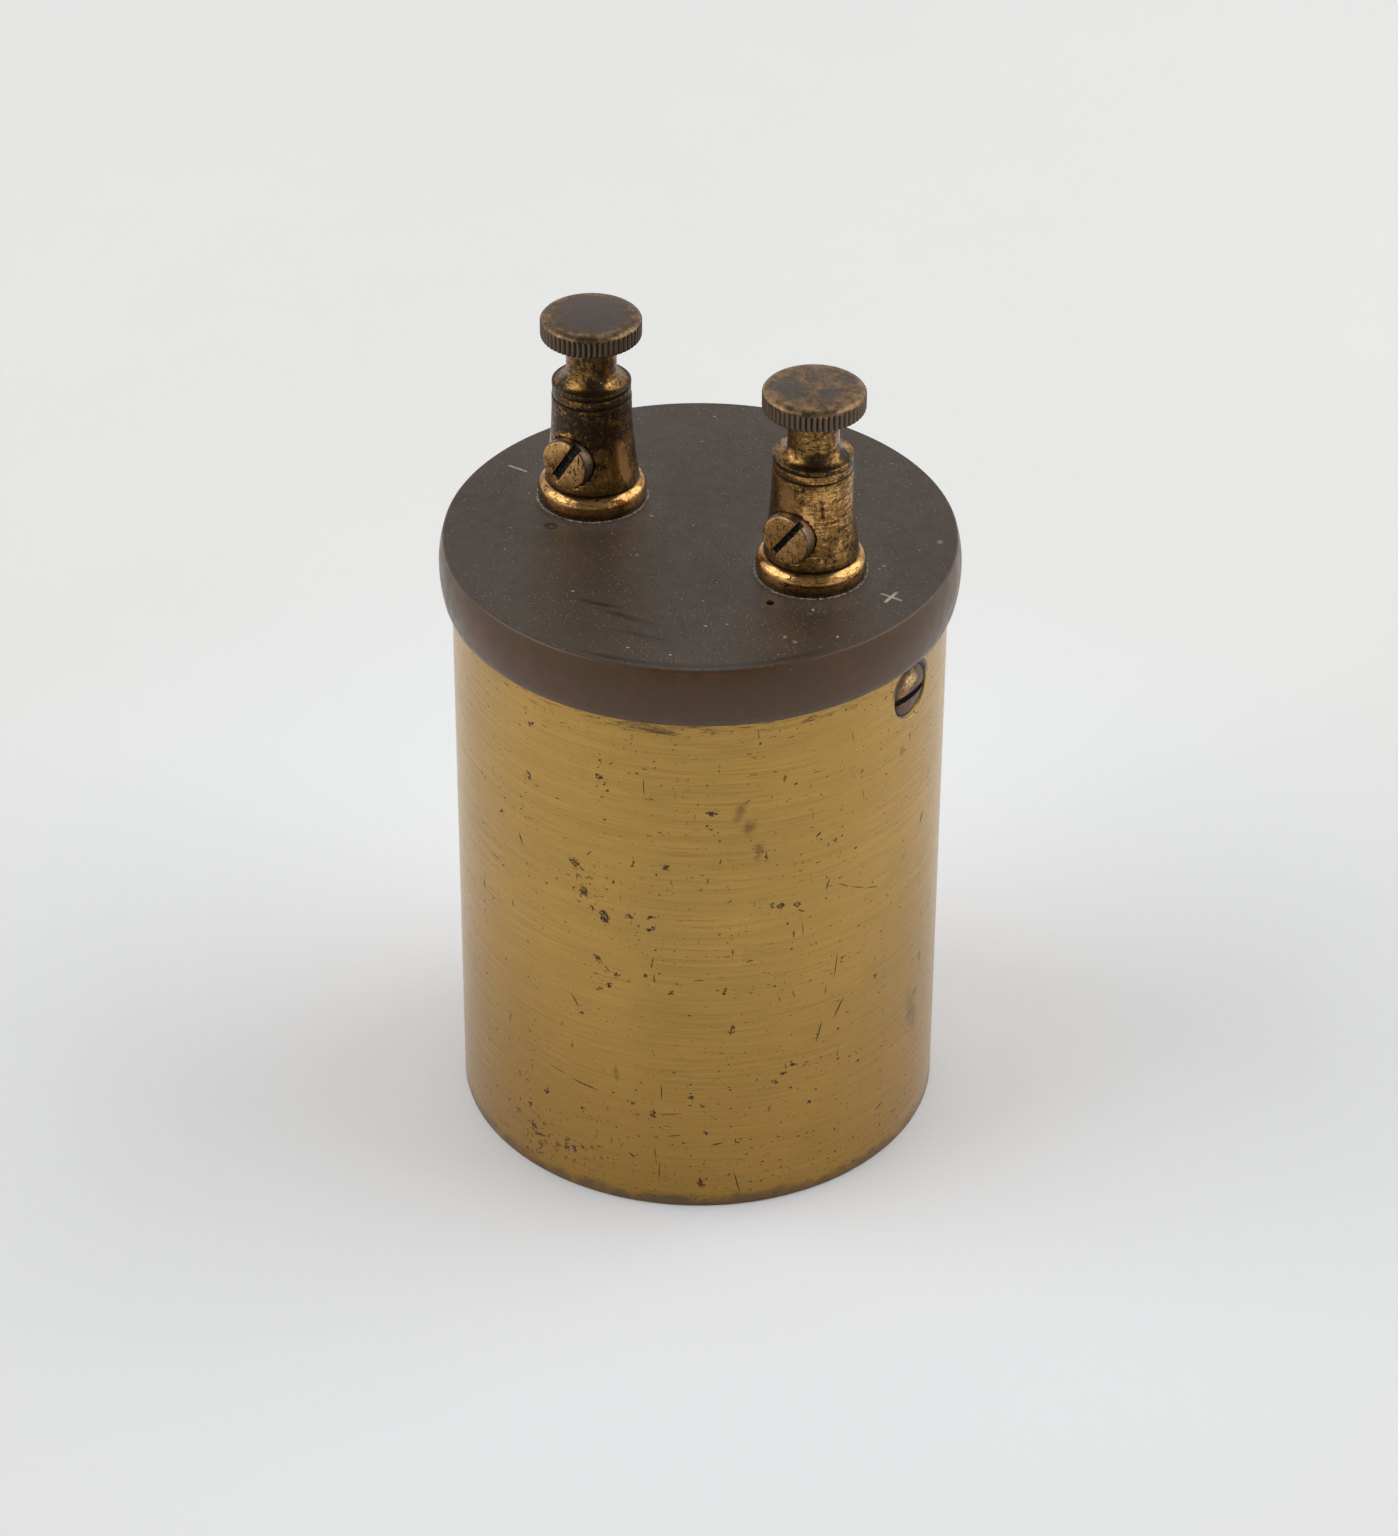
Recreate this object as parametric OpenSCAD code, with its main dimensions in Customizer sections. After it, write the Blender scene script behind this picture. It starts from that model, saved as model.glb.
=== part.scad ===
// Standard cell: a reference cell for early electrical and telegraph testing.
// A brass case is closed by an ebonite lid. The lid carries two binding posts, and the
// sealed glass cell stands inside the case. Sizes are in millimetres and +Z is up.
// The posts stand on the X axis, negative at -X and positive at +X, and their side
// screws face -Y. The origin is the middle of the case's underside.

/* [Case] */
// Outer diameter of the brass case
case_od = 63.5; // [58:0.5:70]
// Wall of the brass tube
case_wall = 1.6; // [1.2:0.1:2.2]
// Height of the case, from its foot to the lid
case_h = 76.3; // [66:0.1:95]
// Bevel round the case's lower edge
case_bevel = 0.3; // [0.1:0.05:0.6]
// Thickness of the base disc soldered into the case
base_t = 1.6; // [1.2:0.1:2.5]

/* [Lid] */
// Thickness of the lid where it shows above the case
lid_t = 8.2; // [7:0.1:11]
// How far the lid's widest line stands out past the case
lid_overhang = 1.55; // [1:0.05:3]
// How far the lid's upper and lower edges draw in from its widest line
lid_draw_in = 0.6; // [0.2:0.05:0.9]
// Bevel on the lid's upper edge
lid_bevel = 0.2; // [0.1:0.05:0.5]
// Rounding on the lid's lower edge
lid_lip = 0.35; // [0.1:0.05:0.6]
// Depth of the spigot that plugs the case
spigot_depth = 12; // [10:0.5:16]
// Gap between the spigot and the inside of the case
spigot_fit = 0.1; // [0.05:0.05:0.3]
// Ebonite left between the terminal pockets and the top of the lid
pocket_roof = 7; // [5:0.5:9]
// Diameter of the small drilled hole in front of each post
peg_hole_d = 1.1; // [0.8:0.1:1.6]
// Depth of the small drilled hole in front of each post
peg_hole_depth = 3; // [2:0.5:5]
// Distance of the small drilled hole in front of each post's axis
peg_hole_out = 9.5; // [8.5:0.1:11]

/* [Polarity marks] */
// Length of each stroke of the plus and minus marks
mark_len = 3.2; // [2:0.1:4]
// Width of each stroke
mark_w = 0.5; // [0.3:0.05:0.8]
// Depth of each stroke
mark_depth = 0.25; // [0.1:0.05:0.5]
// Distance of each mark's middle inside the lid's widest line
mark_in = 4.95; // [4:0.05:6.5]

/* [Lid screws] */
// Diameter of a lid screw's head
lid_screw_head_d = 7.3; // [6.4:0.1:8]
// Diameter of a lid screw's shank
lid_screw_d = 3.6; // [3:0.1:4.2]
// Length of a lid screw below its head's rim
lid_screw_len = 8; // [6:0.5:9]
// Depth of the head's rim below the face of the case
lid_screw_sink = 0.4; // [0.2:0.05:0.6]
// Height of the head's dome above its rim
lid_screw_dome = 0.55; // [0.3:0.05:0.8]
// Distance of a lid screw below the lid's lower edge
lid_screw_drop = 4.5; // [4.2:0.1:6]
// Angle of the lid screws' slots from level
lid_slot_angle = -8; // [-90:1:90]

/* [Binding post columns] */
// Distance of each post's axis inside the outside of the case
post_in = 15.2; // [13.5:0.1:16.5]
// Diameter of the foot flange
flange_d = 14; // [13.4:0.1:15]
// Height of the flange's upright edge
flange_edge = 1.5; // [1:0.1:2]
// Radius of the round on top of the flange
flange_round = 1.5; // [1:0.1:1.6]
// Diameter of the column just above the flange
foot_d = 12.1; // [11.6:0.1:12.8]
// Diameter of the column at its top
column_top_d = 10.2; // [9.6:0.1:11]
// Height of the column above the lid
column_h = 15.05; // [14:0.05:18]
// Width and depth of the line cut round the column above the flange
foot_groove = 0.2; // [0.1:0.05:0.3]

/* [Thumb nuts] */
// Diameter of the knurled head
head_d = 12.9; // [12:0.1:14]
// Thickness of the knurled head at its edge
head_t = 2.8; // [2.2:0.1:3.6]
// Width of the round at the head's upper edge
head_round_w = 0.7; // [0.4:0.05:1]
// Height of the round at the head's upper edge
head_round_h = 0.45; // [0.3:0.05:0.7]
// Bevel round the head's lower edge
head_bevel = 0.2; // [0.1:0.05:0.4]
// Rise of the head's crown at its middle
head_crown = 0.2; // [0.05:0.05:0.5]
// Number of knurl ridges
knurl_count = 56; // [40:1:72]
// Depth of the knurl
knurl_depth = 0.28; // [0.15:0.01:0.35]
// Height of the nut, from its seat to the edge of its crown
nut_h = 9.85; // [9:0.05:12]
// Diameter of the nut's neck
neck_d = 6.45; // [6:0.05:7]
// Radius of the hollow where the neck meets the head
neck_fillet = 0.7; // [0.3:0.05:1]
// Diameter of the nut's collar
collar_d = 10.1; // [9.6:0.1:10.6]
// Height of the collar's upright edge
collar_h = 0.65; // [0.4:0.05:1]
// Thickness of the loose clamp ring under the nut
ring_t = 1.15; // [0.8:0.05:1.6]
// Diameter of the loose clamp ring
ring_d = 10.05; // [9.6:0.05:10.6]
// Gap above and below the clamp ring with the nut screwed down
seat_gap = 0.06; // [0.03:0.01:0.12]
// Diameter of the stud that the nut screws on
stud_d = 4; // [3.6:0.1:4.4]
// Radial running gap on the studs
run_gap = 0.05; // [0.02:0.01:0.08]
// Brass left between the stud bores and the side screw's bore
bore_wall = 1.2; // [0.8:0.1:1.6]
// Brass left between the nut's blind bore and its crown
nut_cap = 1.7; // [1.2:0.1:2.2]
// Gap left above the stud inside the nut's blind bore
stud_head_room = 0.4; // [0.2:0.1:0.8]

/* [Side screws] */
// Height of the side screw's axis above the lid
side_screw_h = 7.4; // [7.2:0.1:8.2]
// Diameter of the side screw's head
side_head_d = 6.7; // [6:0.1:6.8]
// Thickness of the side screw's head
side_head_t = 1.75; // [1.3:0.05:2.2]
// Bevel round the face of the side screw's head
side_head_bevel = 0.3; // [0.1:0.05:0.5]
// Diameter of the side screw's shank
side_shank_d = 2.8; // [2.4:0.1:3.2]
// Length of the side screw's shank
side_shank_len = 6.4; // [5:0.1:7]
// Distance of the flat spot face from the post's axis
spot_out = 4.25; // [4.1:0.05:4.6]
// Radial gap between the side screw's head and the spot face's edge
spot_gap = 0.2; // [0.1:0.05:0.3]
// Thickness of the side screw's washer
washer_t = 0.35; // [0.25:0.05:0.6]
// How far the washer's edge stays inside the head's edge
washer_in = 0.25; // [0.1:0.05:0.5]
// Gap on each side of the washer with the screw done up
side_gap = 0.03; // [0.02:0.01:0.06]
// Width of the screws' driver slots
slot_w = 1; // [0.7:0.05:1.3]
// Depth of the screws' driver slots
slot_depth = 0.9; // [0.6:0.05:1.1]
// Angle of the negative post's slot from level
left_slot_angle = 58; // [0:1:180]
// Angle of the positive post's slot from level
right_slot_angle = 54; // [0:1:180]

/* [Fixings under the lid] */
// Diameter of the washers under the lid
under_washer_d = 10; // [9:0.1:10.6]
// Thickness of the washers under the lid
under_washer_t = 0.6; // [0.4:0.1:1]
// Gap between those washers and the pocket wall
pocket_gap = 0.45; // [0.3:0.05:0.6]
// Width of the solder tags
tag_w = 3; // [2.4:0.1:3.4]
// Thickness of the solder tags
tag_t = 0.5; // [0.4:0.05:0.7]
// Length of a solder tag's tail, bent down beside the nut
tag_tail = 6.5; // [5.5:0.1:8]
// Gap between a tag's tail and the pocket wall
tag_gap = 0.15; // [0.1:0.05:0.3]
// Width across the flats of the nuts under the lid
hex_af = 7; // [6.4:0.1:7.6]
// Thickness of the nuts under the lid
hex_t = 3; // [2.4:0.1:3.4]
// Length of stud showing below each nut
stud_tail = 1; // [0.5:0.1:2]

/* [Glass cell] */
// Thickness of the cork pad under the glass cell
pad_t = 4.4; // [3:0.1:7]
// Outer diameter of the glass cell
glass_od = 38; // [36:0.5:42]
// Wall of the glass cell
glass_t = 1.25; // [1:0.05:1.6]
// Outer radius of the glass cell's lower edge
glass_round = 3; // [2.5:0.1:5]
// Space between the top of the glass cell and the lid's spigot
head_space = 6.3; // [5.5:0.1:9]
// Depth of mercury
mercury_h = 8; // [5:0.5:10]
// Depth of mercurous sulphate paste on the mercury
paste_h = 10; // [6:0.5:12]
// Thickness of the cork stopper
cork_t = 7; // [5:0.5:9]
// Thickness of the marine glue over the stopper
glue_t = 3; // [2:0.5:4]
// Air left between the zinc sulphate and the stopper
air_gap = 0.8; // [0.5:0.1:3]
// Height of the cork collar round the mouth of the glass cell
collar_cork_h = 6; // [4:0.5:9]
// Radial gap between the pieces that fit inside one another
cell_fit = 0.05; // [0.02:0.01:0.1]

/* [Electrodes and leads] */
// Diameter of the zinc rod
zinc_d = 6; // [5:0.1:7]
// Distance of the zinc rod from the case's axis, towards the negative post
zinc_x = 4.5; // [3.6:0.1:5]
// Distance of the zinc rod's end above the paste
zinc_gap = 6.75; // [4:0.25:10]
// Length of zinc rod above the marine glue
zinc_stand = 4.6; // [3.5:0.1:5]
// Depth of the lead's hole below the top of the zinc rod
lead_drop = 1.6; // [1.2:0.1:2]
// Diameter of the copper lead to the zinc rod
lead_d = 1; // [0.6:0.1:1.2]
// Radius of the bend in the copper lead
lead_bend = 1.5; // [1.2:0.1:2]
// Diameter of the platinum lead
platinum_d = 0.7; // [0.5:0.1:1]
// Outer diameter of the glass sheath round the platinum lead
sheath_d = 3; // [2.4:0.1:3.6]
// Depth of the sheath's end below the mercury's surface
sheath_dip = 3; // [2:0.5:4]
// Length of bare platinum below the sheath
platinum_tip = 2; // [1:0.1:2.5]
// Length of sheath above the marine glue
sheath_stand = 3; // [1:0.5:4.5]

/* [Hidden] */
$fn = 96;
// Values that follow from the sizes above
case_r = case_od / 2;
bore_r = case_r - case_wall;
spigot_r = bore_r - spigot_fit;
lid_r = case_r + lid_overhang;
lid_top = case_h + lid_t;
spigot_z = case_h - spigot_depth;
post_x = case_r - post_in;
mark_x = lid_r - mark_in;
nut_z = lid_top + column_h + 2 * seat_gap + ring_t;
ring_z = lid_top + column_h + seat_gap;
nut_bore_h = nut_h - nut_cap;
stud_top = nut_z + nut_bore_h - stud_head_room;
stud_foot = lid_top + side_screw_h + side_shank_d / 2 + bore_wall;
fixing_top = lid_top + side_screw_h - side_shank_d / 2 - bore_wall;
roof_z = lid_top - pocket_roof;
tag_z = roof_z - under_washer_t - tag_t;
hex_z = tag_z - hex_t;
fixing_foot = hex_z - stud_tail;
pocket_r = under_washer_d / 2 + pocket_gap;
tail_out = sqrt(pow(pocket_r, 2) - pow(tag_w / 2, 2)) - tag_gap;
lead_x = post_x - tail_out + tag_t / 2;
tail_z = tag_z + tag_t - tag_tail;
side_head_r = side_head_d / 2;
spot_r = side_head_r + spot_gap;
washer_out = spot_out + side_gap;
side_head_out = washer_out + washer_t + side_gap;
screw_z = case_h - lid_screw_drop;
sink_r = lid_screw_head_d / 2 + lid_screw_sink;
pad_z = base_t;
glass_z = pad_z + pad_t;
glass_r = glass_od / 2;
glass_in = glass_r - glass_t;
glass_top = spigot_z - head_space;
floor_z = glass_z + glass_t;
paste_z = floor_z + mercury_h;
sulphate_z = paste_z + paste_h;
glue_z = glass_top - glue_t;
cork_z = glue_z - cork_t;
collar_z = glass_top - collar_cork_h;
zinc_z = sulphate_z + zinc_gap;
zinc_top = glass_top + zinc_stand;
lead_z = zinc_top - lead_drop;
sheath_z = paste_z - sheath_dip;
dome_r = (pow(lid_screw_head_d / 2, 2) + pow(lid_screw_dome, 2)) / (2 * lid_screw_dome);
// Height of the lid's widest line as a share of its thickness
belly = 0.56;
// How far each cut runs past the face that it opens
over = 1;
// Flat left on each knurl ridge, as height cut off its point
crest = 0.08;
// Width of the small bevels that break sharp edges
edge_break = 0.1;
// Straight steps in the lid's bulging side and in the columns' flare
curve_steps = 10;
// Straight steps in a flange's or a collar's quarter round
bead_steps = 8;
// Straight steps in the other quarter rounds
round_steps = 6;
// Sides of the nuts under the lid
hex_sides = 6;
// Facets round the wires and the small drilled holes
wire_fn = 32;

// Points along an arc, from angle a0 to angle a1
function arc(cx, cz, r, a0, a1, steps) =
    [for (i = [0 : steps]) let (a = a0 + (a1 - a0) * i / steps) [cx + r * cos(a), cz + r * sin(a)]];

// Radius of the lid's bulging side at height z above its lower edge
function lid_side(z) =
    let (mid = belly * lid_t, far = z > mid ? lid_t - mid : mid)
    lid_r - lid_draw_in * pow((z - mid) / far, 2);

// Radius of the column at height z above the lid
function column_r(z) =
    column_top_d / 2
    + (foot_d - column_top_d) / 2 * pow((column_h - z) / (column_h - flange_edge - flange_round), 2);

// A driver slot across a screw head that faces +Z, cut down from height z
module driver_slot(z, angle, d)
    rotate([0, 0, angle])
        translate([-d, -slot_w / 2, z - slot_depth])
            cube([2 * d, slot_w, slot_depth + over]);

// Turns what is drawn along +Z to point out of the case at the positive post's side
module out_along_x(side) rotate([0, 0, side > 0 ? 0 : 180]) rotate([0, 90, 0]) children();

// Turns what is drawn along +Z to point along -Y from a post's axis
module out_of_post(side, z) translate([side * post_x, 0, z]) rotate([90, 0, 0]) children();

// Room for one lid screw, through the case and into the spigot
module lid_screw_room(side)
    translate([0, 0, screw_z])
        out_along_x(side) {
            cylinder(r = lid_screw_d / 2 + cell_fit, h = case_r + over);
            translate([0, 0, case_r - sink_r])
                cylinder(r1 = 0, r2 = sink_r + over, h = sink_r + over);
        }

module case_tube() color("#a8823c")
    difference() {
        rotate_extrude()
            polygon([[bore_r, 0], [case_r - case_bevel, 0], [case_r, case_bevel],
                [case_r, case_h], [bore_r, case_h]]);
        for (side = [-1, 1]) lid_screw_room(side);
    }

module base_disc() color("#97752f") cylinder(r = bore_r, h = base_t);

module lid() color("#4a423c")
    difference() {
        union() {
            translate([0, 0, case_h])
                rotate_extrude()
                    polygon(concat([[0, 0], [lid_side(0) - lid_lip, 0]],
                        [for (i = [0 : curve_steps])
                            let (z = lid_lip + (lid_t - lid_bevel - lid_lip) * i / curve_steps)
                                [lid_side(z), z]],
                        [[lid_side(lid_t - lid_bevel) - lid_bevel, lid_t], [0, lid_t]]));
            translate([0, 0, spigot_z]) cylinder(r = spigot_r, h = spigot_depth + edge_break);
        }
        for (side = [-1, 1]) {
            translate([side * post_x, 0, spigot_z - over])
                cylinder(r = pocket_r, h = roof_z - spigot_z + over);
            translate([side * post_x, 0, spigot_z]) cylinder(r = stud_d / 2 + run_gap, h = lid_top);
            translate([side * post_x, -peg_hole_out, lid_top - peg_hole_depth])
                cylinder(r = peg_hole_d / 2, h = peg_hole_depth + over, $fn = wire_fn);
            mark_stroke(side, 0);
            lid_screw_room(side);
        }
        mark_stroke(1, 90);
    }

// One engraved stroke of a polarity mark, outside its post
module mark_stroke(side, angle)
    translate([side * mark_x, 0, lid_top])
        rotate([0, 0, angle])
            translate([-mark_len / 2, -mark_w / 2, -mark_depth])
                cube([mark_len, mark_w, mark_depth + over]);

// The ebonite peg that stops the negative post's small hole
module hole_peg() color("#3b342f")
    translate([-post_x, -peg_hole_out, lid_top - peg_hole_depth])
        cylinder(r = peg_hole_d / 2, h = peg_hole_depth - edge_break, $fn = wire_fn);

// One countersunk lid screw, pointing along +Z with its rim at z = 0
module lid_screw()
    difference() {
        intersection() {
            rotate_extrude()
                polygon([[0, -lid_screw_len], [lid_screw_d / 2, -lid_screw_len],
                    [lid_screw_d / 2, (lid_screw_d - lid_screw_head_d) / 2],
                    [lid_screw_head_d / 2, 0], [lid_screw_head_d / 2, lid_screw_dome],
                    [0, lid_screw_dome]]);
            translate([0, 0, lid_screw_dome - dome_r]) sphere(r = dome_r);
        }
        driver_slot(lid_screw_dome, lid_slot_angle, lid_screw_head_d);
    }

module lid_screws() color("#7d6a4a")
    for (side = [-1, 1])
        translate([0, 0, screw_z])
            out_along_x(side)
                translate([0, 0, case_r - lid_screw_sink])
                    rotate([0, 0, 90])
                        lid_screw();

// The turned outline of a post: flange, line above it and flaring column
function column_points() =
    let (top_of_flange = flange_edge + flange_round)
    concat([[0, 0], [flange_d / 2 - edge_break, 0], [flange_d / 2, edge_break]],
        [for (p = arc(flange_d / 2 - flange_round, flange_edge, flange_round, 0, 90, bead_steps))
            if (p[0] > foot_d / 2) p],
        [[foot_d / 2 - foot_groove, flange_edge + sqrt(pow(flange_round, 2)
                - pow(foot_d / 2 - foot_groove - flange_d / 2 + flange_round, 2))],
            [foot_d / 2 - foot_groove, top_of_flange + foot_groove / 2],
            [column_r(top_of_flange + foot_groove), top_of_flange + foot_groove]],
        [for (i = [1 : curve_steps])
            let (z = top_of_flange + foot_groove
                + (column_h - edge_break - top_of_flange - foot_groove) * i / curve_steps)
                [column_r(z), z]],
        [[column_top_d / 2 - edge_break, column_h], [0, column_h]]);

module post_column(side)
    difference() {
        translate([side * post_x, 0, lid_top]) rotate_extrude() polygon(column_points());
        translate([side * post_x, 0, lid_top - over])
            cylinder(r = stud_d / 2, h = fixing_top - lid_top + over);
        translate([side * post_x, 0, stud_foot]) cylinder(r = stud_d / 2, h = column_h);
        out_of_post(side, lid_top + side_screw_h) {
            translate([0, 0, spot_out]) cylinder(r = spot_r, h = flange_d);
            translate([0, 0, side_head_out - side_shank_len - edge_break])
                cylinder(r = side_shank_d / 2 + run_gap, h = side_shank_len + edge_break);
        }
    }

module post_column_left() color("#8a6a34") post_column(-1);

module post_column_right() color("#9a7436") post_column(1);

// Lower studs, from under the lid up into the columns
module fixing_studs() color("#9c7a3c")
    for (side = [-1, 1])
        translate([side * post_x, 0, fixing_foot]) cylinder(r = stud_d / 2, h = fixing_top - fixing_foot);

// Upper studs, from the columns up into the thumb nuts
module nut_studs() color("#9c7a3c")
    for (side = [-1, 1])
        translate([side * post_x, 0, stud_foot]) cylinder(r = stud_d / 2, h = stud_top - stud_foot);

module clamp_ring(side)
    translate([side * post_x, 0, ring_z])
        difference() {
            cylinder(r = ring_d / 2, h = ring_t);
            translate([0, 0, -over]) cylinder(r = stud_d / 2 + run_gap, h = ring_t + 2 * over);
        }

module clamp_ring_left() color("#7c5f31") clamp_ring(-1);

module clamp_ring_right() color("#8d6b34") clamp_ring(1);

// Outline of the nut below its head: collar, hollow flare, neck and the hollow under the head
function neck_points() =
    let (flare = (collar_d - neck_d) / 2 - edge_break)
    concat([[0, 0], [collar_d / 2 - edge_break, 0], [collar_d / 2, edge_break], [collar_d / 2, collar_h]],
        arc(neck_d / 2 + flare, collar_h + flare, flare, 270, 180, bead_steps),
        arc(neck_d / 2 + neck_fillet, nut_h - head_t - neck_fillet, neck_fillet, 180, 90, round_steps),
        [[neck_d / 2 + neck_fillet, nut_h - head_t + edge_break], [0, nut_h - head_t + edge_break]]);

// Outline of the nut's head: edge, round and low crown
function head_points() =
    let (flat_r = head_d / 2 - head_round_w)
    concat([[0, nut_h - head_t], [head_d / 2 - head_bevel, nut_h - head_t],
            [head_d / 2, nut_h - head_t + head_bevel]],
        [for (i = [0 : round_steps]) let (a = 90 * i / round_steps)
            [flat_r + head_round_w * cos(a), nut_h - head_round_h + head_round_h * sin(a)]],
        [for (i = [1 : round_steps]) let (share = 1 - i / round_steps)
            [flat_r * share, nut_h + head_crown * (1 - pow(share, 2))]]);

// Outline of the knurl: one ridge and one furrow for each of knurl_count
function knurl_points() =
    [for (i = [0 : 2 * knurl_count - 1])
        let (r = head_d / 2 + crest - (i % 2) * (knurl_depth + crest), a = 180 * i / knurl_count)
        [r * cos(a), r * sin(a)]];

module thumb_nut(side)
    translate([side * post_x, 0, nut_z])
        difference() {
            union() {
                rotate_extrude() polygon(neck_points());
                intersection() {
                    rotate_extrude() polygon(head_points());
                    translate([0, 0, nut_h - head_t - over])
                        linear_extrude(head_t + head_crown + 2 * over) polygon(knurl_points());
                }
            }
            translate([0, 0, -over]) cylinder(r = stud_d / 2 + run_gap, h = nut_bore_h + over);
        }

module thumb_nut_left() color("#5b4a35") thumb_nut(-1);

module thumb_nut_right() color("#6e573a") thumb_nut(1);

module screw_washer(side)
    out_of_post(side, lid_top + side_screw_h)
        translate([0, 0, washer_out])
            difference() {
                cylinder(r = side_head_r - washer_in, h = washer_t);
                translate([0, 0, -over]) cylinder(r = side_shank_d / 2 + run_gap, h = washer_t + 2 * over);
            }

module screw_washer_left() color("#8d6c35") screw_washer(-1);

module screw_washer_right() color("#8d6c35") screw_washer(1);

module wire_screw(side, angle)
    out_of_post(side, lid_top + side_screw_h)
        translate([0, 0, side_head_out])
            difference() {
                union() {
                    translate([0, 0, -side_shank_len])
                        cylinder(r = side_shank_d / 2, h = side_shank_len + edge_break);
                    cylinder(r = side_head_r, h = side_head_t - side_head_bevel);
                    translate([0, 0, side_head_t - side_head_bevel])
                        cylinder(r1 = side_head_r, r2 = side_head_r - side_head_bevel, h = side_head_bevel);
                }
                driver_slot(side_head_t, angle, side_head_d);
            }

module wire_screw_left() color("#a07b3c") wire_screw(-1, left_slot_angle);

module wire_screw_right() color("#a07b3c") wire_screw(1, right_slot_angle);

module lid_washers() color("#a8843f")
    for (side = [-1, 1])
        translate([side * post_x, 0, roof_z - under_washer_t])
            difference() {
                cylinder(r = under_washer_d / 2, h = under_washer_t);
                translate([0, 0, -over]) cylinder(r = stud_d / 2 + run_gap, h = under_washer_t + 2 * over);
            }

// Solder tags: an eye round each stud, and a tail bent down towards the middle of the case
module solder_tags() color("#b9b2a4")
    for (side = [-1, 1])
        translate([side * post_x, 0, 0])
            rotate([0, 0, side > 0 ? 180 : 0])
                difference() {
                    union() {
                        translate([0, 0, tag_z]) cylinder(r = hex_af / 2, h = tag_t);
                        translate([0, -tag_w / 2, tag_z]) cube([tail_out, tag_w, tag_t]);
                        translate([tail_out - tag_t, -tag_w / 2, tail_z]) cube([tag_t, tag_w, tag_tail]);
                    }
                    translate([0, 0, tag_z - over]) cylinder(r = stud_d / 2 + run_gap, h = tag_t + 2 * over);
                }

module lid_nuts() color("#a8843f")
    for (side = [-1, 1])
        translate([side * post_x, 0, hex_z])
            difference() {
                rotate([0, 0, 180 / hex_sides])
                    cylinder(r = hex_af / 2 / cos(180 / hex_sides), h = hex_t, $fn = hex_sides);
                translate([0, 0, -over]) cylinder(r = stud_d / 2 + run_gap, h = hex_t + 2 * over);
            }

module cork_pad() color("#b58f5e") translate([0, 0, pad_z]) cylinder(r = bore_r - cell_fit, h = pad_t);

// A ring between the glass cell and the case
module packing_ring(z, h)
    translate([0, 0, z])
        difference() {
            cylinder(r = bore_r - cell_fit, h = h);
            translate([0, 0, -over]) cylinder(r = glass_r + cell_fit, h = h + 2 * over);
        }

module wax_packing() color("#d8cfae") packing_ring(glass_z, collar_z - glass_z);

module cork_collar() color("#b58f5e") packing_ring(collar_z, collar_cork_h);

module glass_cell() color("#cfe3e0", 0.5)
    translate([0, 0, glass_z])
        rotate_extrude()
            polygon(concat([[0, 0]],
                arc(glass_r - glass_round, glass_round, glass_round, 270, 360, round_steps),
                [[glass_r, glass_top - glass_z], [glass_in, glass_top - glass_z]],
                arc(glass_r - glass_round, glass_round, glass_round - glass_t, 360, 270, round_steps),
                [[0, glass_t]]));

// A disc that fills the inside of the glass cell from z up to z + h
module cell_disc(z, h) translate([0, 0, z]) cylinder(r = glass_in - cell_fit, h = h);

// A hole for a piece of diameter d that stands at x through the filling
module stand_hole(x, d) translate([x, 0, floor_z]) cylinder(r = d / 2 + cell_fit, h = case_h);

module mercury() color("#c9ccd0")
    difference() {
        translate([0, 0, glass_z])
            rotate_extrude()
                polygon(concat([[0, glass_t]],
                    arc(glass_r - glass_round, glass_round, glass_round - glass_t - cell_fit, 270, 360,
                        round_steps),
                    [[glass_in - cell_fit, glass_t + mercury_h], [0, glass_t + mercury_h]]));
        translate([lead_x, 0, sheath_z]) cylinder(r = sheath_d / 2 + cell_fit, h = case_h);
        translate([lead_x, 0, sheath_z - platinum_tip]) cylinder(r = platinum_d / 2 + cell_fit, h = case_h);
    }

module mercurous_paste() color("#d9d5cb")
    difference() {
        cell_disc(paste_z, paste_h);
        stand_hole(lead_x, sheath_d);
    }

module zinc_sulphate() color("#dfe9ec", 0.6)
    difference() {
        cell_disc(sulphate_z, cork_z - air_gap - sulphate_z);
        stand_hole(lead_x, sheath_d);
        translate([-zinc_x, 0, zinc_z]) cylinder(r = zinc_d / 2 + cell_fit, h = case_h);
    }

module cork_stopper() color("#a9814f")
    difference() {
        cell_disc(cork_z, cork_t);
        stand_hole(lead_x, sheath_d);
        stand_hole(-zinc_x, zinc_d);
    }

module glue_seal() color("#2b2320")
    difference() {
        cell_disc(glue_z, glue_t);
        stand_hole(lead_x, sheath_d);
        stand_hole(-zinc_x, zinc_d);
    }

// The zinc rod, with a cross hole near its top for the copper lead
module zinc_rod() color("#9a9ea1")
    translate([-zinc_x, 0, 0])
        difference() {
            translate([0, 0, zinc_z]) cylinder(r = zinc_d / 2, h = zinc_top - zinc_z);
            translate([-zinc_d, 0, lead_z])
                rotate([0, 90, 0])
                    cylinder(r = lead_d / 2 + cell_fit, h = zinc_d, $fn = wire_fn);
        }

// The copper lead: down from the tag, round a bend and into the zinc rod
module zinc_lead() color("#a8683c") {
    translate([-lead_x, 0, lead_z + lead_bend])
        cylinder(r = lead_d / 2, h = tail_z - lead_z - lead_bend, $fn = wire_fn);
    translate([lead_bend - lead_x, 0, lead_z + lead_bend])
        rotate([90, 0, 0])
            rotate_extrude(angle = 90)
                translate([-lead_bend, 0])
                    circle(r = lead_d / 2, $fn = wire_fn);
    translate([lead_bend - lead_x, 0, lead_z])
        rotate([0, 90, 0])
            cylinder(r = lead_d / 2, h = lead_x - lead_bend - zinc_x, $fn = wire_fn);
}

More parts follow.
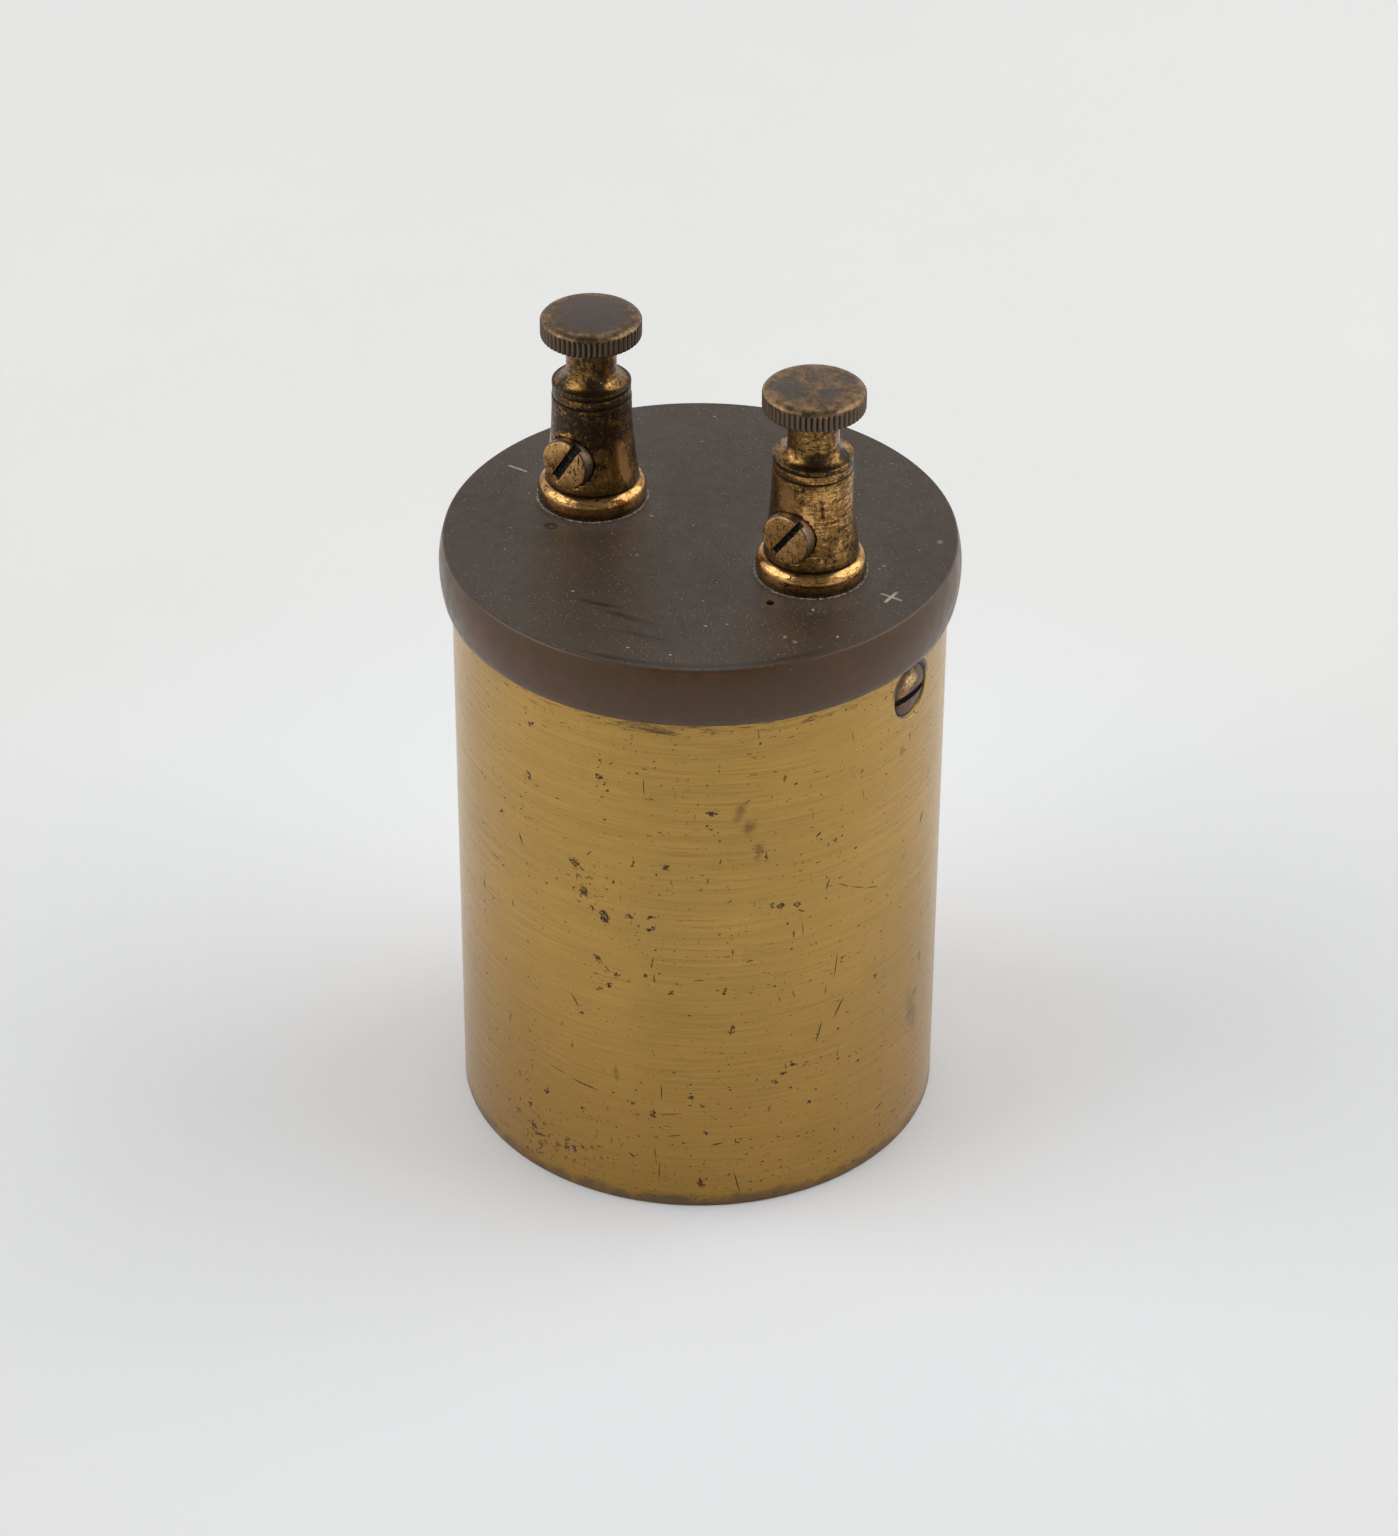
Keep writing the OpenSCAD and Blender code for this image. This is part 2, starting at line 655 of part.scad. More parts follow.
module glass_sheath() color("#d5e6e3", 0.6)
    translate([lead_x, 0, 0])
        difference() {
            translate([0, 0, sheath_z])
                cylinder(r = sheath_d / 2, h = glass_top + sheath_stand - sheath_z);
            translate([0, 0, floor_z]) cylinder(r = platinum_d / 2 + cell_fit, h = case_h, $fn = wire_fn);
        }

module platinum_lead() color("#c4c4c4")
    translate([lead_x, 0, sheath_z - platinum_tip])
        cylinder(r = platinum_d / 2, h = tail_z - sheath_z + platinum_tip, $fn = wire_fn);

case_tube();
base_disc();
lid();
lid_screws();
hole_peg();
post_column_left();
post_column_right();
fixing_studs();
nut_studs();
clamp_ring_left();
clamp_ring_right();
thumb_nut_left();
thumb_nut_right();
screw_washer_left();
screw_washer_right();
wire_screw_left();
wire_screw_right();
lid_washers();
solder_tags();
lid_nuts();
cork_pad();
wax_packing();
cork_collar();
glass_cell();
mercury();
mercurous_paste();
zinc_sulphate();
cork_stopper();
glue_seal();
zinc_rod();
zinc_lead();
glass_sheath();
platinum_lead();
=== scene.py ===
"""Looks of a standard cell: a brass case, an ebonite lid and two binding posts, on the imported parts."""

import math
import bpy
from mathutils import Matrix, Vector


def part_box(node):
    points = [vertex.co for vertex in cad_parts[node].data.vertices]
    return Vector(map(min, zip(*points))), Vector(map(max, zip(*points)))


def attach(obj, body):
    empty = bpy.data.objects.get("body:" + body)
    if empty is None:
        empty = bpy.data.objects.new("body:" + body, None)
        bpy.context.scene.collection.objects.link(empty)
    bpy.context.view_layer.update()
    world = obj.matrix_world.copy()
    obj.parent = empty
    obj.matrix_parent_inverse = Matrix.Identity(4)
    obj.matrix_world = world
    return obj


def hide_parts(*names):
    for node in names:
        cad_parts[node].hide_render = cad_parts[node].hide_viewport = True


bl_info = {
    "name": "Standard cell looks",
    "version": (1, 0, 0),
    "blender": (4, 5, 0),
    "location": "3D View > Sidebar > Standard Cell",
    "description": "Models and finishes the visible pieces of a standard cell",
    "category": "Object",
}

import bpy
from bpy.props import FloatProperty, FloatVectorProperty, IntProperty, PointerProperty
from mathutils import Matrix, Vector

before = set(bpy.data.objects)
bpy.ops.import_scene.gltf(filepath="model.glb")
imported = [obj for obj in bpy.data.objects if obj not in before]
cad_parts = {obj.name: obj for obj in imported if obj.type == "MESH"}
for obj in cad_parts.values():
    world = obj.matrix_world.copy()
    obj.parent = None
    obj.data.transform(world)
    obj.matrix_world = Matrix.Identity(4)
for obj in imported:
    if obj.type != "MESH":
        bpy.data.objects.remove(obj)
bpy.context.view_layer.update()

MM = 0.001
SIDES = {"left": -1, "right": 1}


def span(node):
    """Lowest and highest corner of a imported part, in millimetres."""
    low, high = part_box(node)
    return low / MM, high / MM


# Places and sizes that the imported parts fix, in millimetres
CASE_HIGH = span("case_tube")[1]
LID_LOW, LID_HIGH = span("lid")
BASE_HIGH = span("base_disc")[1]
COLUMN_LOW, COLUMN_HIGH = span("post_column_right")
RING_LOW, RING_HIGH = span("clamp_ring_right")
NUT_LOW, NUT_HIGH = span("thumb_nut_right")
STUD_LOW, STUD_HIGH = span("nut_studs")
SCREW_LOW, SCREW_HIGH = span("wire_screw_right")
LID_SCREW_LOW, LID_SCREW_HIGH = span("lid_screws")
POCKET_LOW, POCKET_HIGH = span("lid_washers")
PEG_LOW, PEG_HIGH = span("hole_peg")

CASE_R = CASE_HIGH.x
BORE_R = BASE_HIGH.x
CASE_H = CASE_HIGH.z
LID_R = LID_HIGH.x
LID_TOP = LID_HIGH.z
POST_X = (COLUMN_LOW.x + COLUMN_HIGH.x) / 2
FLANGE_R = (COLUMN_HIGH.x - COLUMN_LOW.x) / 2
COLUMN_TOP = COLUMN_HIGH.z
RING_R = (RING_HIGH.x - RING_LOW.x) / 2
NUT_Z, NUT_TOP = NUT_LOW.z, NUT_HIGH.z
HEAD_R = (NUT_HIGH.x - NUT_LOW.x) / 2
STUD_R = (STUD_HIGH.x - STUD_LOW.x) / 2 - POST_X
SCREW_R = (SCREW_HIGH.x - SCREW_LOW.x) / 2
SCREW_Z = (SCREW_HIGH.z + SCREW_LOW.z) / 2
SCREW_FACE = SCREW_LOW.y
LID_SCREW_R = (LID_SCREW_HIGH.z - LID_SCREW_LOW.z) / 2
LID_SCREW_Z = (LID_SCREW_HIGH.z + LID_SCREW_LOW.z) / 2
LID_SCREW_OUT = LID_SCREW_HIGH.x
PEG_Y = (PEG_LOW.y + PEG_HIGH.y) / 2

# Sizes that several pieces and finishes share, in millimetres
FOOT_EDGE, FOOT_BEAD = 1.5, 1.5
FOOT_TOP = LID_TOP + FOOT_EDGE + FOOT_BEAD
FOOT_R, NECK_TOP_R, FOOT_LINE = 6.05, 5.1, 0.2
HEAD_T, HEAD_ROUND_W, HEAD_ROUND_H = 2.8, 1.1, 0.75
HEAD_FLAT = NUT_TOP - 0.2
HEAD_LOW = HEAD_FLAT - HEAD_T
HEAD_EDGE = HEAD_FLAT - HEAD_ROUND_H
MARK_LONG, MARK_WIDE = 3.2, 0.5
MARK_X = LID_R - 4.95
LID_SCREW_DOME = 0.55
STUD_HOLE_R, PEG_HOLE_R = STUD_R + 0.05, 0.55
SLOT_ROUND = 0.05
# A column's middle radius, on which its marks are placed
WALL_R = 5.5
# Points nearer than this are one
SAME_POINT = 0.002

# The camera: where it stands, in millimetres, how it is turned, in degrees, and its picture, in pixels
EYE = Vector((283.6, -437.6, 402.9))
PITCH, YAW, ROLL = -34.233, 0.003, 0.291
FOCAL, FRAME_W, FRAME_H = 4804, 1398, 1536


def camera_axes():
    """Directions to the right of the camera, above it and ahead of it."""
    pitch, roll = math.radians(PITCH), math.radians(ROLL)
    heading = math.atan2(-EYE.y, -EYE.x) + math.radians(YAW)
    level = math.cos(pitch)
    ahead = Vector((math.cos(heading) * level, math.sin(heading) * level, math.sin(pitch)))
    across = ahead.cross(Vector((0, 0, 1))).normalized()
    above = across.cross(ahead)
    right = across * math.cos(roll) + above * math.sin(roll)
    return right, above * math.cos(roll) - across * math.sin(roll), ahead


RIGHT, UP, AHEAD = camera_axes()
FRONT = Vector((EYE.x, EYE.y, 0)).normalized()


def sight(x, y):
    """Direction in which the camera sees a place of its picture."""
    return AHEAD + RIGHT * ((x - FRAME_W / 2) / FOCAL) - UP * ((y - FRAME_H / 2) / FOCAL)


def on_level(z, x_axis=0.0):
    """Finds the points seen on a level plane, from an upright axis."""
    def find(x, y):
        ray = sight(x, y)
        point = EYE + ray * ((z - EYE.z) / ray.z)
        return Vector((point.x - x_axis, point.y))
    return find


def on_wall(radius, x_axis=0.0):
    """Finds the points seen on an upright cylinder: distance round it from its -Y side, and height."""
    def find(x, y):
        ray, eye = sight(x, y), EYE - Vector((x_axis, 0, 0))
        a = ray.x ** 2 + ray.y ** 2
        b = eye.x * ray.x + eye.y * ray.y
        c = eye.x ** 2 + eye.y ** 2 - radius ** 2
        point = eye + ray * ((-b - math.sqrt(max(b * b - a * c, 0))) / a)
        return Vector((radius * math.atan2(point.x, -point.y), point.z))
    return find


def placed(find, lines):
    """Middle, half sizes and turn of marks, each two ends and a half width in the camera's picture."""
    marks = []
    for x0, y0, x1, y1, half in lines:
        first, last = find(x0, y0), find(x1, y1)
        run, middle = last - first, (first + last) / 2
        along = Vector((x1 - x0, y1 - y0)).normalized()
        x, y = (x0 + x1) / 2, (y0 + y1) / 2
        beside = find(x - along.y * half, y + along.x * half) - find(x, y)
        wide = abs(run.normalized().cross(beside))
        marks.append((middle, (run.length / 2, wide), math.degrees(math.atan2(run.y, run.x))))
    return marks


def oval(x, y, wide, high, turn=0):
    """An upright or level mark of the picture as a line: its middle, half sizes and turn."""
    a = math.radians(turn)
    if wide >= high:
        across, up, half = wide * math.cos(a), -wide * math.sin(a), high
    else:
        across, up, half = high * math.sin(a), high * math.cos(a), wide
    return x - across, y - up, x + across, y + up, half


def tint(label, description, value):
    return FloatVectorProperty(
        name=label, description=description, subtype="COLOR", size=3, min=0, max=1, default=value)


def measure(label, description, value, least, most):
    """A length setting, its numbers in millimetres."""
    return FloatProperty(
        name=label, description=description, default=value * MM, min=least * MM, max=most * MM,
        precision=6, subtype="DISTANCE", unit="LENGTH")


class CellShapes(bpy.types.PropertyGroup):
    """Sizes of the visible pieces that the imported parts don't fix."""

    turning_steps: IntProperty(
        name="Turning steps", description="Facets round each turned piece", default=192, min=48, max=512)
    knurl_ridges: IntProperty(
        name="Knurl ridges", description="Ridges round each thumb head", default=56, min=30, max=90)
    edge_round: measure("Edge rounding", "Width of the worn round on sharp edges", 0.06, 0.0, 0.3)
    knurl_depth: measure("Knurl depth", "Depth of the furrows in each thumb head", 0.25, 0.0, 0.6)
    slot_width: measure("Slot width", "Width of the driver slots", 1.2, 0.3, 2.0)
    slot_depth: measure("Slot depth", "Depth of the driver slots", 0.9, 0.3, 1.5)
    mark_depth: measure("Mark depth", "Depth of the engraved polarity marks", 0.2, 0.05, 0.5)


class CellColours(bpy.types.PropertyGroup):
    """Main colours of the finishes."""

    brass: tint("Case brass", "Clean part of the case", (0.495, 0.296, 0.066))
    gold: tint("Post brass", "Clean part of the posts", (0.66, 0.365, 0.130))
    olive: tint("Thin tarnish", "Brown film on the posts", (0.165, 0.088, 0.024))
    black: tint("Thick tarnish", "Near-black film on the posts", (0.026, 0.018, 0.011))
    bronze: tint("Head bronze", "Brown patina of the thumb heads", (0.175, 0.105, 0.055))
    slate: tint("Head slate", "Grey middle of the thumb heads", (0.066, 0.055, 0.050))
    ebonite: tint("Ebonite", "Aged ebonite of the lid", (0.043, 0.0285, 0.018))
    dust: tint("Dust", "Pale dust and the filling of the marks", (0.50, 0.46, 0.395))
    floor: tint("Floor", "Pale floor", (0.845, 0.845, 0.84))


def start():
    """Leaves edit mode with nothing selected."""
    if bpy.context.mode != "OBJECT":
        bpy.ops.object.mode_set(mode="OBJECT")
    bpy.ops.object.select_all(action="DESELECT")


def take(piece):
    """Makes a piece the active and only selected one."""
    start()
    piece.select_set(True)
    bpy.context.view_layer.objects.active = piece


def settle(piece, at=None, turn=None):
    """Moves a piece to a point in millimetres, turns it, and puts its place into its mesh."""
    if at is not None:
        piece.location = Vector(at) * MM
    if turn is not None:
        piece.rotation_euler = turn
    take(piece)
    bpy.ops.object.transform_apply(location=True, rotation=True, scale=True)


def arc(centre, radius, first, last, steps):
    """Points of an arc, from one angle to another in degrees."""
    turn = [math.radians(first + (last - first) * i / steps) for i in range(steps + 1)]
    return [(centre[0] + radius * math.cos(a), centre[1] + radius * math.sin(a)) for a in turn]


def turned(name, outline, steps, x=0.0, lift=0.0):
    """Turns an outline of (radius, height) in millimetres about the upright axis at x."""
    outline = [(r, z + lift) for r, z in outline]
    start()
    bpy.ops.mesh.primitive_plane_add(size=MM, location=(x * MM, 0, 0))
    piece = bpy.context.object
    piece.name = piece.data.name = name
    bpy.ops.object.mode_set(mode="EDIT")
    bpy.ops.mesh.merge(type="CENTER")
    bpy.ops.transform.translate(value=(outline[0][0] * MM, 0, outline[0][1] * MM))
    for (r0, z0), (r1, z1) in zip(outline, outline[1:]):
        step = ((r1 - r0) * MM, 0, (z1 - z0) * MM)
        bpy.ops.mesh.extrude_region_move(TRANSFORM_OT_translate={"value": step})
    bpy.ops.mesh.select_all(action="SELECT")
    bpy.ops.mesh.spin(steps=steps, angle=math.tau, center=(x * MM, 0, 0), axis=(0, 0, 1))
    bpy.ops.mesh.select_all(action="SELECT")
    bpy.ops.mesh.remove_doubles(threshold=SAME_POINT * MM)
    bpy.ops.mesh.normals_make_consistent(inside=False)
    settle(piece)
    return piece


def rod(radius, length, at, turn=(0, 0, 0), radius_end=None, facets=64):
    """A round solid in millimetres that starts at a point and runs along its turned Z axis."""
    start()
    end = radius if radius_end is None else radius_end
    bpy.ops.mesh.primitive_cone_add(
        vertices=facets, radius1=radius * MM, radius2=end * MM, depth=length * MM,
        location=(0, 0, length * MM / 2))
    solid = bpy.context.object
    settle(solid)
    settle(solid, at, turn)
    return solid


def block(size, at, turn=(0, 0, 0)):
    """A square-edged solid in millimetres with its middle at a point."""
    start()
    bpy.ops.mesh.primitive_cube_add(size=1)
    solid = bpy.context.object
    solid.scale = Vector(size) * MM
    settle(solid)
    settle(solid, at, turn)
    return solid


def fit(piece, kind, **settings):
    """Adds a modifier to a piece and applies it."""
    take(piece)
    bpy.ops.object.modifier_add(type=kind)
    tool = piece.modifiers[-1]
    for key, value in settings.items():
        setattr(tool, key, value)
    bpy.ops.object.modifier_apply(modifier=tool.name)


def cut(piece, *cutters):
    """Cuts other solids out of a piece."""
    for cutter in cutters:
        fit(piece, "BOOLEAN", operation="DIFFERENCE", solver="EXACT", object=cutter)
        bpy.data.objects.remove(cutter)


def soften(piece, width=0.0, angle=32):
    """Rounds a piece's sharp edges by a width in metres, and smooths its shading."""
    angle = math.radians(angle)
    if width > 0:
        fit(piece, "BEVEL", width=width, segments=2, limit_method="ANGLE", angle_limit=angle)
    take(piece)
    bpy.ops.object.shade_smooth_by_angle(angle=angle)
    fit(piece, "WEIGHTED_NORMAL", keep_sharp=True)


def copied(piece, name, moved):
    """A copy with its own mesh, moved by millimetres."""
    take(piece)
    bpy.ops.object.duplicate()
    twin = bpy.context.object
    twin.name = twin.data.name = name
    settle(twin, moved)
    return twin


def dress(piece, finish, body, slot, *nodes):
    """Gives a new piece its finish and body, and hides the imported parts that it stands for. The slot is not
    used.
    """
    piece.data.materials.clear()
    piece.data.materials.append(finish)
    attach(piece, body)
    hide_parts(*nodes)


def dress_nodes(finish, nodes):
    """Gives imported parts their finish."""
    for node in nodes.split():
        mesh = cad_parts[node].data
        mesh.materials.clear()
        mesh.materials.append(finish)


def shade(colour, share):
    return tuple(c * share for c in colour)


def reckoned(operation, swapped=False):
    """A way to join one value with another."""
    def join(value, other=0.0):
        first, second = (other, value) if swapped else (value, other)
        return value.graph.math(operation, first, second)
    return join


class Value:
    """An output of a shader node, to reckon with: a | b is the larger, and a < b is one where it holds."""

    def __init__(self, graph, socket):
        self.graph, self.socket = graph, socket

    __add__ = reckoned("ADD")
    __sub__ = reckoned("SUBTRACT")
    __rsub__ = reckoned("SUBTRACT", swapped=True)
    __mul__ = reckoned("MULTIPLY")
    __or__ = reckoned("MAXIMUM")
    __lt__ = reckoned("LESS_THAN")
    __abs__ = reckoned("ABSOLUTE")

    def beside(self, output):
        """Another output of the same node."""
        return Value(self.graph, self.socket.node.outputs[output])

    def band(self, low, high, out_low=0.0, out_high=1.0):
        """Rises smoothly from one value to another."""
        inputs = {"Value": self, "From Min": low, "From Max": high, "To Min": out_low, "To Max": out_high}
        return self.graph.put("ShaderNodeMapRange", inputs, interpolation_type="SMOOTHSTEP")

    def between(self, low, high, edge):
        """One inside a range and zero outside it."""
        return self.band(low - edge, low + edge) * self.band(high + edge, high - edge)


class Graph:
    """Makes shader nodes. Its places and lengths are in millimetres."""

    def __init__(self, tree):
        self.tree = tree

    def put(self, kind, inputs, output=0, **settings):
        """Adds a node with its inputs, and gives one of its outputs."""
        node = self.tree.nodes.new(kind)
        for key, value in settings.items():
            setattr(node, key, value)
        for key, value in inputs.items():
            if isinstance(value, Value):
                self.tree.links.new(value.socket, node.inputs[key])
            else:
                node.inputs[key].default_value = value
        return Value(self, node.outputs[output])

    def math(self, operation, a, b=0.0):
        return self.put("ShaderNodeMath", {0: a, 1: b}, operation=operation)

    def vector(self, operation, a, b=(0, 0, 0), c=(0, 0, 0), output="Vector"):
        return self.put("ShaderNodeVectorMath", {0: a, 1: b, 2: c}, output, operation=operation)

    def scaled(self, at, *scale):
        return self.vector("MULTIPLY", at, scale)

    def length(self, a):
        return self.vector("LENGTH", a, output="Value")

    def dot(self, a, b):
        return self.vector("DOT_PRODUCT", a, b, output="Value")

    def split(self, value):
        x = self.put("ShaderNodeSeparateXYZ", {0: value})
        return x, x.beside(1), x.beside(2)

    def join(self, x, y, z=0.0):
        return self.put("ShaderNodeCombineXYZ", {0: x, 1: y, 2: z})

    def noise(self, at, scale, detail=2.0, rough=0.5, distortion=0.0):
        inputs = {"Vector": at, "Scale": scale, "Detail": detail, "Roughness": rough}
        inputs["Distortion"] = distortion
        return self.put("ShaderNodeTexNoise", inputs, "Fac")

    def streaks(self, at, scale, detail, rough, distortion=0.0):
        """Noise that is finer along some axes than along others."""
        return self.noise(self.scaled(at, *scale), 1.0, detail, rough, distortion)

    def shaken(self, at, scale, amount):
        """A place moved a little at random, to break up straight outlines."""
        random = self.noise(at, scale, 3.0).beside("Color")
        centred = self.vector("SUBTRACT", random, (0.5, 0.5, 0.5))
        return self.vector("ADD", at, self.scaled(centred, amount, amount, amount))

    def cells(self, at, scale):
        """Distance to the nearest cell's middle, and two of that cell's own random numbers."""
        near = self.put("ShaderNodeTexVoronoi", {"Vector": at, "Scale": scale}, "Distance")
        chance = self.put("ShaderNodeSeparateColor", {"Color": near.beside("Color")})
        return near, chance, chance.beside(1)

    def specks(self, at, scale, share, size):
        """Scattered spots: cells to the millimetre, the share that has a spot, and the largest spot."""
        near, chance, grade = self.cells(at, scale)
        return (near < grade * (size * 0.7) + size * 0.3) * (chance < share)

    def mix(self, factor, a, b):
        """Between two plain values."""
        return self.put("ShaderNodeMix", {0: factor, 2: a, 3: b})

    def blend(self, factor, a, b):
        """Between two colours."""
        a, b = (c if isinstance(c, Value) else (*c, 1.0) for c in (a, b))
        return self.put("ShaderNodeMix", {0: factor, 6: a, 7: b}, 2, data_type="RGBA")

    def near(self, at, centre, size, turn=0.0):
        """Distance from a mark's middle, as a share of its size."""
        inputs = {"Vector": at, "Location": (*centre, 0), "Scale": (*size, 1)}
        inputs["Rotation"] = (0, 0, math.radians(turn))
        return self.length(self.put("ShaderNodeMapping", inputs, vector_type="TEXTURE"))

    def marks(self, at, places, soft=0.4):
        """One inside any of several marks, each a middle, half sizes and a turn."""
        total = self.near(at, *places[0])
        for place in places[1:]:
            # A chain of marks takes less of the shader's memory than a fan of them
            after = self.vector("MULTIPLY_ADD", total, (1e-6, 1e-6, 0), at)
            total = self.math("MINIMUM", total, self.near(after, *place))
        return total.band(1.0, 1.0 - soft)

    def bump(self, height, depth, strength=1.0, after=None):
        """Raises the surface by height times a depth in millimetres."""
        inputs = {"Height": height, "Strength": strength, "Distance": depth * MM}
        if after is not None:
            inputs["Normal"] = after
        return self.put("ShaderNodeBump", inputs)


class Finish(Graph):
    """One material: a Principled shader with the nodes that feed it."""

    def __init__(self, name, x_axis=0.0, shift=0.0, **plain):
        self.material = bpy.data.materials.new(name)
        self.material.use_nodes = True
        super().__init__(self.material.node_tree)
        self.tree.nodes.clear()
        inputs = {key.replace("_", " "): value for key, value in plain.items()}
        shader = self.put("ShaderNodeBsdfPrincipled", inputs)
        self.shader = shader.socket.node
        surface = self.tree.nodes.new("ShaderNodeOutputMaterial").inputs["Surface"]
        self.tree.links.new(shader.socket, surface)
        spot = self.put("ShaderNodeTexCoord", {}, "Object")
        self.place = self.vector("SUBTRACT", self.scaled(spot, 1 / MM, 1 / MM, 1 / MM), (x_axis, 0, 0))
        self.at = self.vector("ADD", self.place, (shift, shift, shift)) if shift else self.place
        self.x, self.y, self.z = self.split(self.place)
        self.radius = self.length(self.join(self.x, self.y))

    def wall(self, radius):
        """Distance round the upright axis from its -Y side, and height."""
        angle = self.math("ARCTAN2", self.x, self.y * -1.0)
        return self.join(angle * radius, self.z)

    def feed(self, **values):
        """Links values to the shader's sockets."""
        for key, value in values.items():
            self.tree.links.new(value.socket, self.shader.inputs[key.replace("_", " ")])




# Blots of the case by their place in the camera's picture: middle, half sizes and turn
BLOTS = [
    (529.6, 775.4, 1.8, 6.5, 22), (600, 761.3, 2.5, 1.5), (599.2, 777, 5, 2.3, -22),
    (574.3, 862.4, 6.5, 3.6, -42), (582.1, 868.7, 2.2, 2), (578.5, 876.5, 2, 2.2),
    (588.4, 877.3, 2, 1.8), (584, 890.6, 3.8, 5.2, 20), (604.5, 916.5, 4, 8, 28),
    (592.6, 908, 4, 1.6, -25), (629, 916.6, 4, 2.4), (633.2, 863.2, 2, 3.6, -30),
    (666.3, 867.4, 3.4, 3), (650.6, 928.7, 5.4, 2.4, 25), (651.4, 917.4, 4.6, 1.5, 8),
    (613.3, 882.3, 2, 1.4), (771.6, 905.5, 1.6, 2.6, -15), (781.2, 905.5, 4, 3.4),
    (797, 903.8, 3.6, 3, -20), (712.4, 813.5, 6, 3.2), (731.4, 1030.4, 2.4, 6.6, -18),
    (766.3, 856.6, 1.5, 5.4), (598.4, 959.1, 7.5, 2.1, -48), (608.3, 984.8, 3.2, 3),
    (615.8, 974.9, 3, 2.6), (600, 989, 3, 2, 30), (644.8, 976, 3, 1.4),
    (671.3, 993.9, 3, 2, -20), (582.3, 1013.3, 1.9, 1.6), (793.6, 1064.1, 4.2, 1.7, 5),
    (782.8, 1073, 5, 1.3, 8), (775.4, 1081, 3.4, 1.6, 20), (653.6, 1114.1, 3, 5.2),
    (702.2, 1106.2, 2.4, 2, -30), (706.6, 1132.4, 2.4, 1.8, 10), (632.4, 1102.2, 3, 1.7),
    (691.4, 1097.9, 2.6, 2.8), (530.4, 1103.3, 1.9, 3.6, 25), (547, 1090.9, 3.4, 2.3, -25),
    (518.8, 1109.2, 2.8, 1.7, -25), (534.6, 1126, 5.4, 2.2, -50), (541, 1134, 6, 1.6, -14),
    (542.9, 1143.6, 6.2, 1.2, -10), (530.4, 723.2, 3, 2.5), (724.8, 991.4, 1.7, 3.8, -28),
    (874.9, 976.2, 1.4, 3.2, 15), (809, 1101.7, 2.3, 2.3), (858.3, 1061, 1.8, 1.6),
    (501.7, 811.4, 2.2, 2.6, 30), (835, 840, 2.2, 1.7), (861.6, 771.2, 2, 1.6),
    (736.4, 1141.5, 2.8, 1.6, -30), (841.7, 959.1, 1.5, 5, -20), (582.7, 1108.3, 2.5, 1.5),
    (700.8, 1183, 3.6, 5.4, 15),
]
# Scratches of the case in the same picture: two ends and half width
SCRATCHES = [
    (643, 777, 644.4, 798, 0.7), (518.8, 831, 523, 846, 0.9), (814.8, 838, 822.2, 831, 1.2),
    (837.6, 883.1, 850, 886.6, 0.8), (849, 886.4, 866, 887.5, 0.6), (865.8, 887.6, 879, 886.2, 0.8),
    (837.9, 950, 833.9, 980, 0.7), (844.2, 994.8, 832.9, 1019.6, 1), (822.6, 1018.8, 815.2, 1045.3, 1),
    (923, 808, 919.5, 825, 0.8), (603, 964, 611.5, 973, 0.7), (570, 991, 580.5, 1009, 0.8),
    (567.7, 1076, 601.7, 1091.2, 0.9), (661, 1083, 662, 1102, 0.8), (657, 1114.3, 685, 1113.4, 0.6),
    (660, 1160, 658.8, 1180, 0.8), (628, 1151.5, 636.5, 1158.5, 0.9), (710, 1145.5, 724.5, 1142.5, 1),
    (666, 1136.6, 680, 1135.2, 0.7), (733, 1169, 741, 1196, 0.9), (797, 909.5, 805.5, 911.8, 1.1),
    (875, 1110, 882.5, 1101.5, 0.8), (586.5, 856, 591.5, 850.5, 0.9), (826.5, 984, 825, 996, 0.6),
    (802.5, 920, 803.2, 938, 0.5), (490, 850, 502, 862, 0.5), (547.9, 1062.7, 568, 1075, 0.5),
]
# Stains of the case, written like the blots
STAINS = [
    (741, 812, 8, 17, -28), (749, 828, 9, 12), (758.9, 850.8, 7, 12), (910.5, 1012, 8, 27, 8),
    (914, 992, 2.6, 9, -15), (918.8, 956.6, 2.2, 9), (616.6, 1073.5, 4, 11), (902.2, 751.3, 2.8, 5),
    (779.5, 1189, 15, 6, 10), (809, 1183.5, 9, 5, 14), (846, 1168.5, 9, 5, 26), (874, 1150.6, 6, 5, 35),
    (731, 1199, 13, 3, 4), (513, 1143, 9, 5, -40), (543, 1165, 12, 5, -32),
]
# Streaks under the lid and areas with the most pits, written like the scratches
UNDER_LID = [(604, 718, 704, 737, 9), (798, 723, 824, 716, 6), (540, 684, 600, 714, 4)]
PITTED = [(500, 1120, 640, 1145, 55), (560, 880, 620, 900, 30)]
# Dark smudges on the lid, written like the scratches, and pale spots, written like the blots
SMUDGES = [(586, 606, 668, 628, 3.5), (566, 596, 634, 612, 3), (600, 627, 690, 646, 2.5)]
SPOTS = [(940, 542, 4, 2.5), (884, 566, 3, 1.2), (785, 637, 3, 2), (795, 642, 3, 2)]
